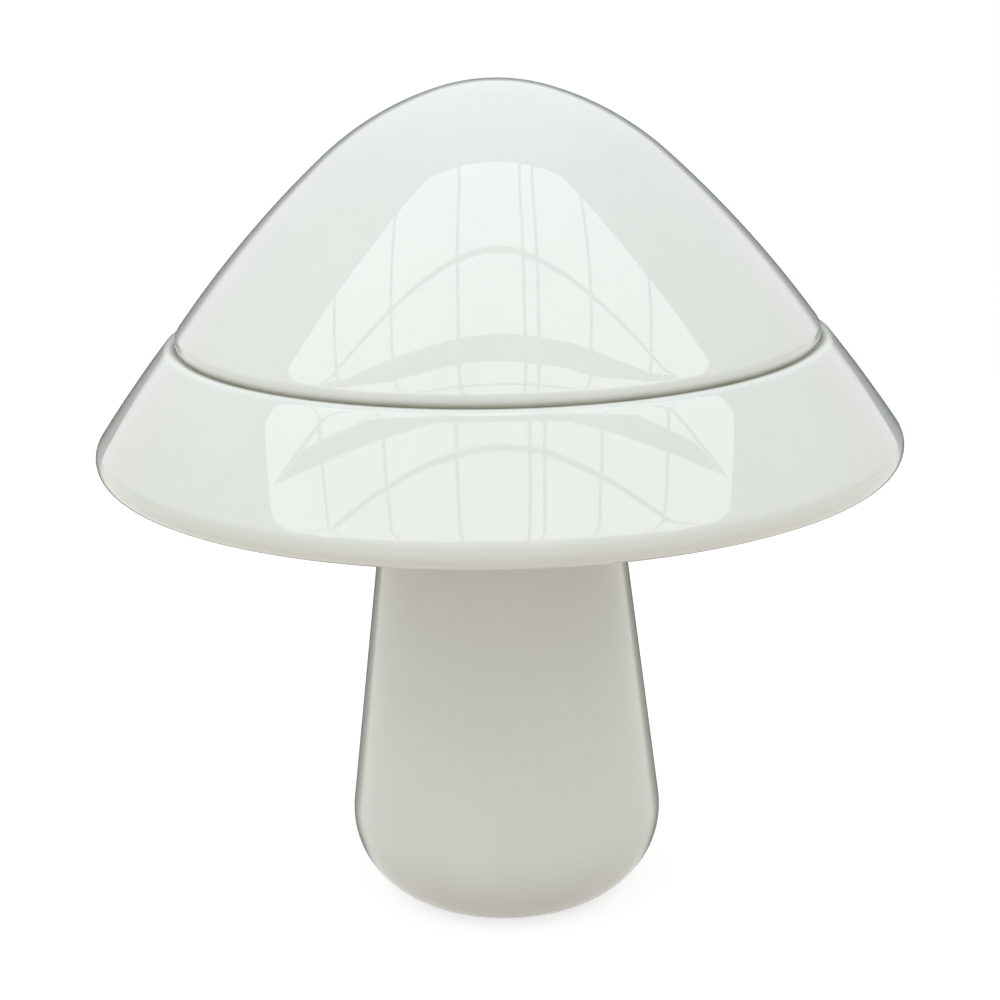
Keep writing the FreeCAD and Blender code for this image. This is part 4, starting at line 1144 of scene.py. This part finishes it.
def studio_panes():
    """Overhead softbox of bright panes between slim bars, with one broad curved brace."""
    bm = bmesh.new()
    xs = [PANE_LOW[0]] + PANE_BARS_X + [PANE_HIGH[0]]
    ys = [PANE_LOW[1]] + PANE_BARS_Y + [PANE_HIGH[1]]
    half = BAR_WIDTH / 2

    def brace(x):
        return ARCH_MIDDLE + ARCH_RISE * x * x

    def pane(x0, x1, low, high):
        cuts = levels(x0, x1, PANE_STRIPS)
        for a, b in zip(cuts, cuts[1:]):
            corners = [(a, low(a)), (b, low(b)), (b, high(b)), (a, high(a))]
            bm.faces.new([bm.verts.new((x, y, PANE_HEIGHT)) for x, y in corners])

    for x0, x1 in zip(xs, xs[1:]):
        for y0, y1 in zip(ys, ys[1:]):
            sides = (x0 + half, x1 - half)
            low, high = y0 + half, y1 - half
            if y0 < ARCH_MIDDLE < y1:
                pane(*sides, lambda x: low, lambda x: max(low + 0.01, brace(x) - ARCH_WIDTH / 2))
                pane(*sides, lambda x: min(high - 0.01, brace(x) + ARCH_WIDTH / 2), lambda x: high)
            else:
                pane(*sides, lambda x: low, lambda x: high)
    panes = keep(bm, "softbox_panes")
    made = bpy.data.materials.new("softbox_light")
    made.use_nodes = True
    tree = made.node_tree
    tree.nodes.clear()
    path = tree.nodes.new("ShaderNodeLightPath")
    light = mixed(tree, path.outputs["Is Glossy Ray"],
                  shader_node(tree, "ShaderNodeEmission", PANE_COLOUR, PANE_LIGHT),
                  shader_node(tree, "ShaderNodeEmission", PANE_COLOUR, PANE_SHINE))
    out = tree.nodes.new("ShaderNodeOutputMaterial")
    tree.links.new(light, out.inputs["Surface"])
    paint(panes, made)
    panes.visible_camera = False


ROOM_LOW = (0.485, 0.45, 0.40)
ROOM_HIGH = (0.83, 0.875, 0.85)
ROOM_FADE = (0.03, 0.46)      # heights between which the low tone turns into the high one
ROOM_TILT = -0.08             # the room is dimmer to the right
BACKDROP_FADE = (0.35, 1.0)   # reflections turn white from the side to straight behind


def studio_world():
    """Soft room, dimmer and warmer towards the horizon; the camera sees it white."""
    world = bpy.data.worlds.new("studio")
    bpy.context.scene.world = world
    world.use_nodes = True
    tree = world.node_tree
    tree.nodes.clear()
    seen, path = background_ray(tree)
    parts = tree.nodes.new("ShaderNodeSeparateXYZ")
    direction = tree.nodes.new("ShaderNodeTexCoord").outputs["Generated"]
    tree.links.new(direction, parts.inputs[0])
    up = spread(tree, parts.outputs["Z"], *ROOM_FADE)
    room = tree.nodes.new("ShaderNodeBackground")
    dark = dark_side(tree, path, direction, DARK_AIM, DARK_EDGE)
    walls = blend_colours(tree, up, (*ROOM_LOW, 1), (*ROOM_HIGH, 1))
    tree.links.new(blend_colours(tree, dark, walls, (*DARK_ROOM, 1)), room.inputs["Color"])
    tree.links.new(plus(tree, 1.0, parts.outputs["X"], ROOM_TILT), room.inputs["Strength"])
    white = shader_node(tree, "ShaderNodeBackground", WHITE, 1.0)
    backdrop = math_node(tree, "MULTIPLY", seen, spread(tree, parts.outputs["Y"], *BACKDROP_FADE))
    lit = math_node(tree, "MULTIPLY", backdrop, math_node(tree, "SUBTRACT", 1.0, dark))
    share = math_node(tree, "MAXIMUM", path.outputs["Is Camera Ray"], lit)
    out = tree.nodes.new("ShaderNodeOutputWorld")
    tree.links.new(mixed(tree, share, room.outputs[0], white), out.inputs["Surface"])


CAMERA_PLACE = Vector((-0.000333, -0.79707, 0.38585))
CAMERA_AIM = Vector((-0.000333, 0.0, 0.15528))
CAMERA_LENS = 78.6
CAMERA_SENSOR = 36.0
CAMERA_ROLL = -0.0194


def studio_camera():
    """The photograph's view: slightly above the lamp, turned by a degree."""
    data = bpy.data.cameras.new("camera")
    data.lens = CAMERA_LENS
    data.sensor_width = CAMERA_SENSOR
    camera = bpy.data.objects.new("camera", data)
    bpy.context.scene.collection.objects.link(camera)
    ahead = (CAMERA_AIM - CAMERA_PLACE).normalized()
    right = ahead.cross(Vector((0, 0, 1))).normalized()
    up = right.cross(ahead)
    across = right * math.cos(CAMERA_ROLL) + up * math.sin(CAMERA_ROLL)
    upward = up * math.cos(CAMERA_ROLL) - right * math.sin(CAMERA_ROLL)
    turn = Matrix((across, upward, -ahead)).transposed().to_4x4()
    camera.matrix_world = Matrix.Translation(CAMERA_PLACE) @ turn
    bpy.context.scene.camera = camera


studio_floor()
studio_panes()
studio_world()
studio_camera()
bpy.context.scene.view_settings.view_transform = "Standard"
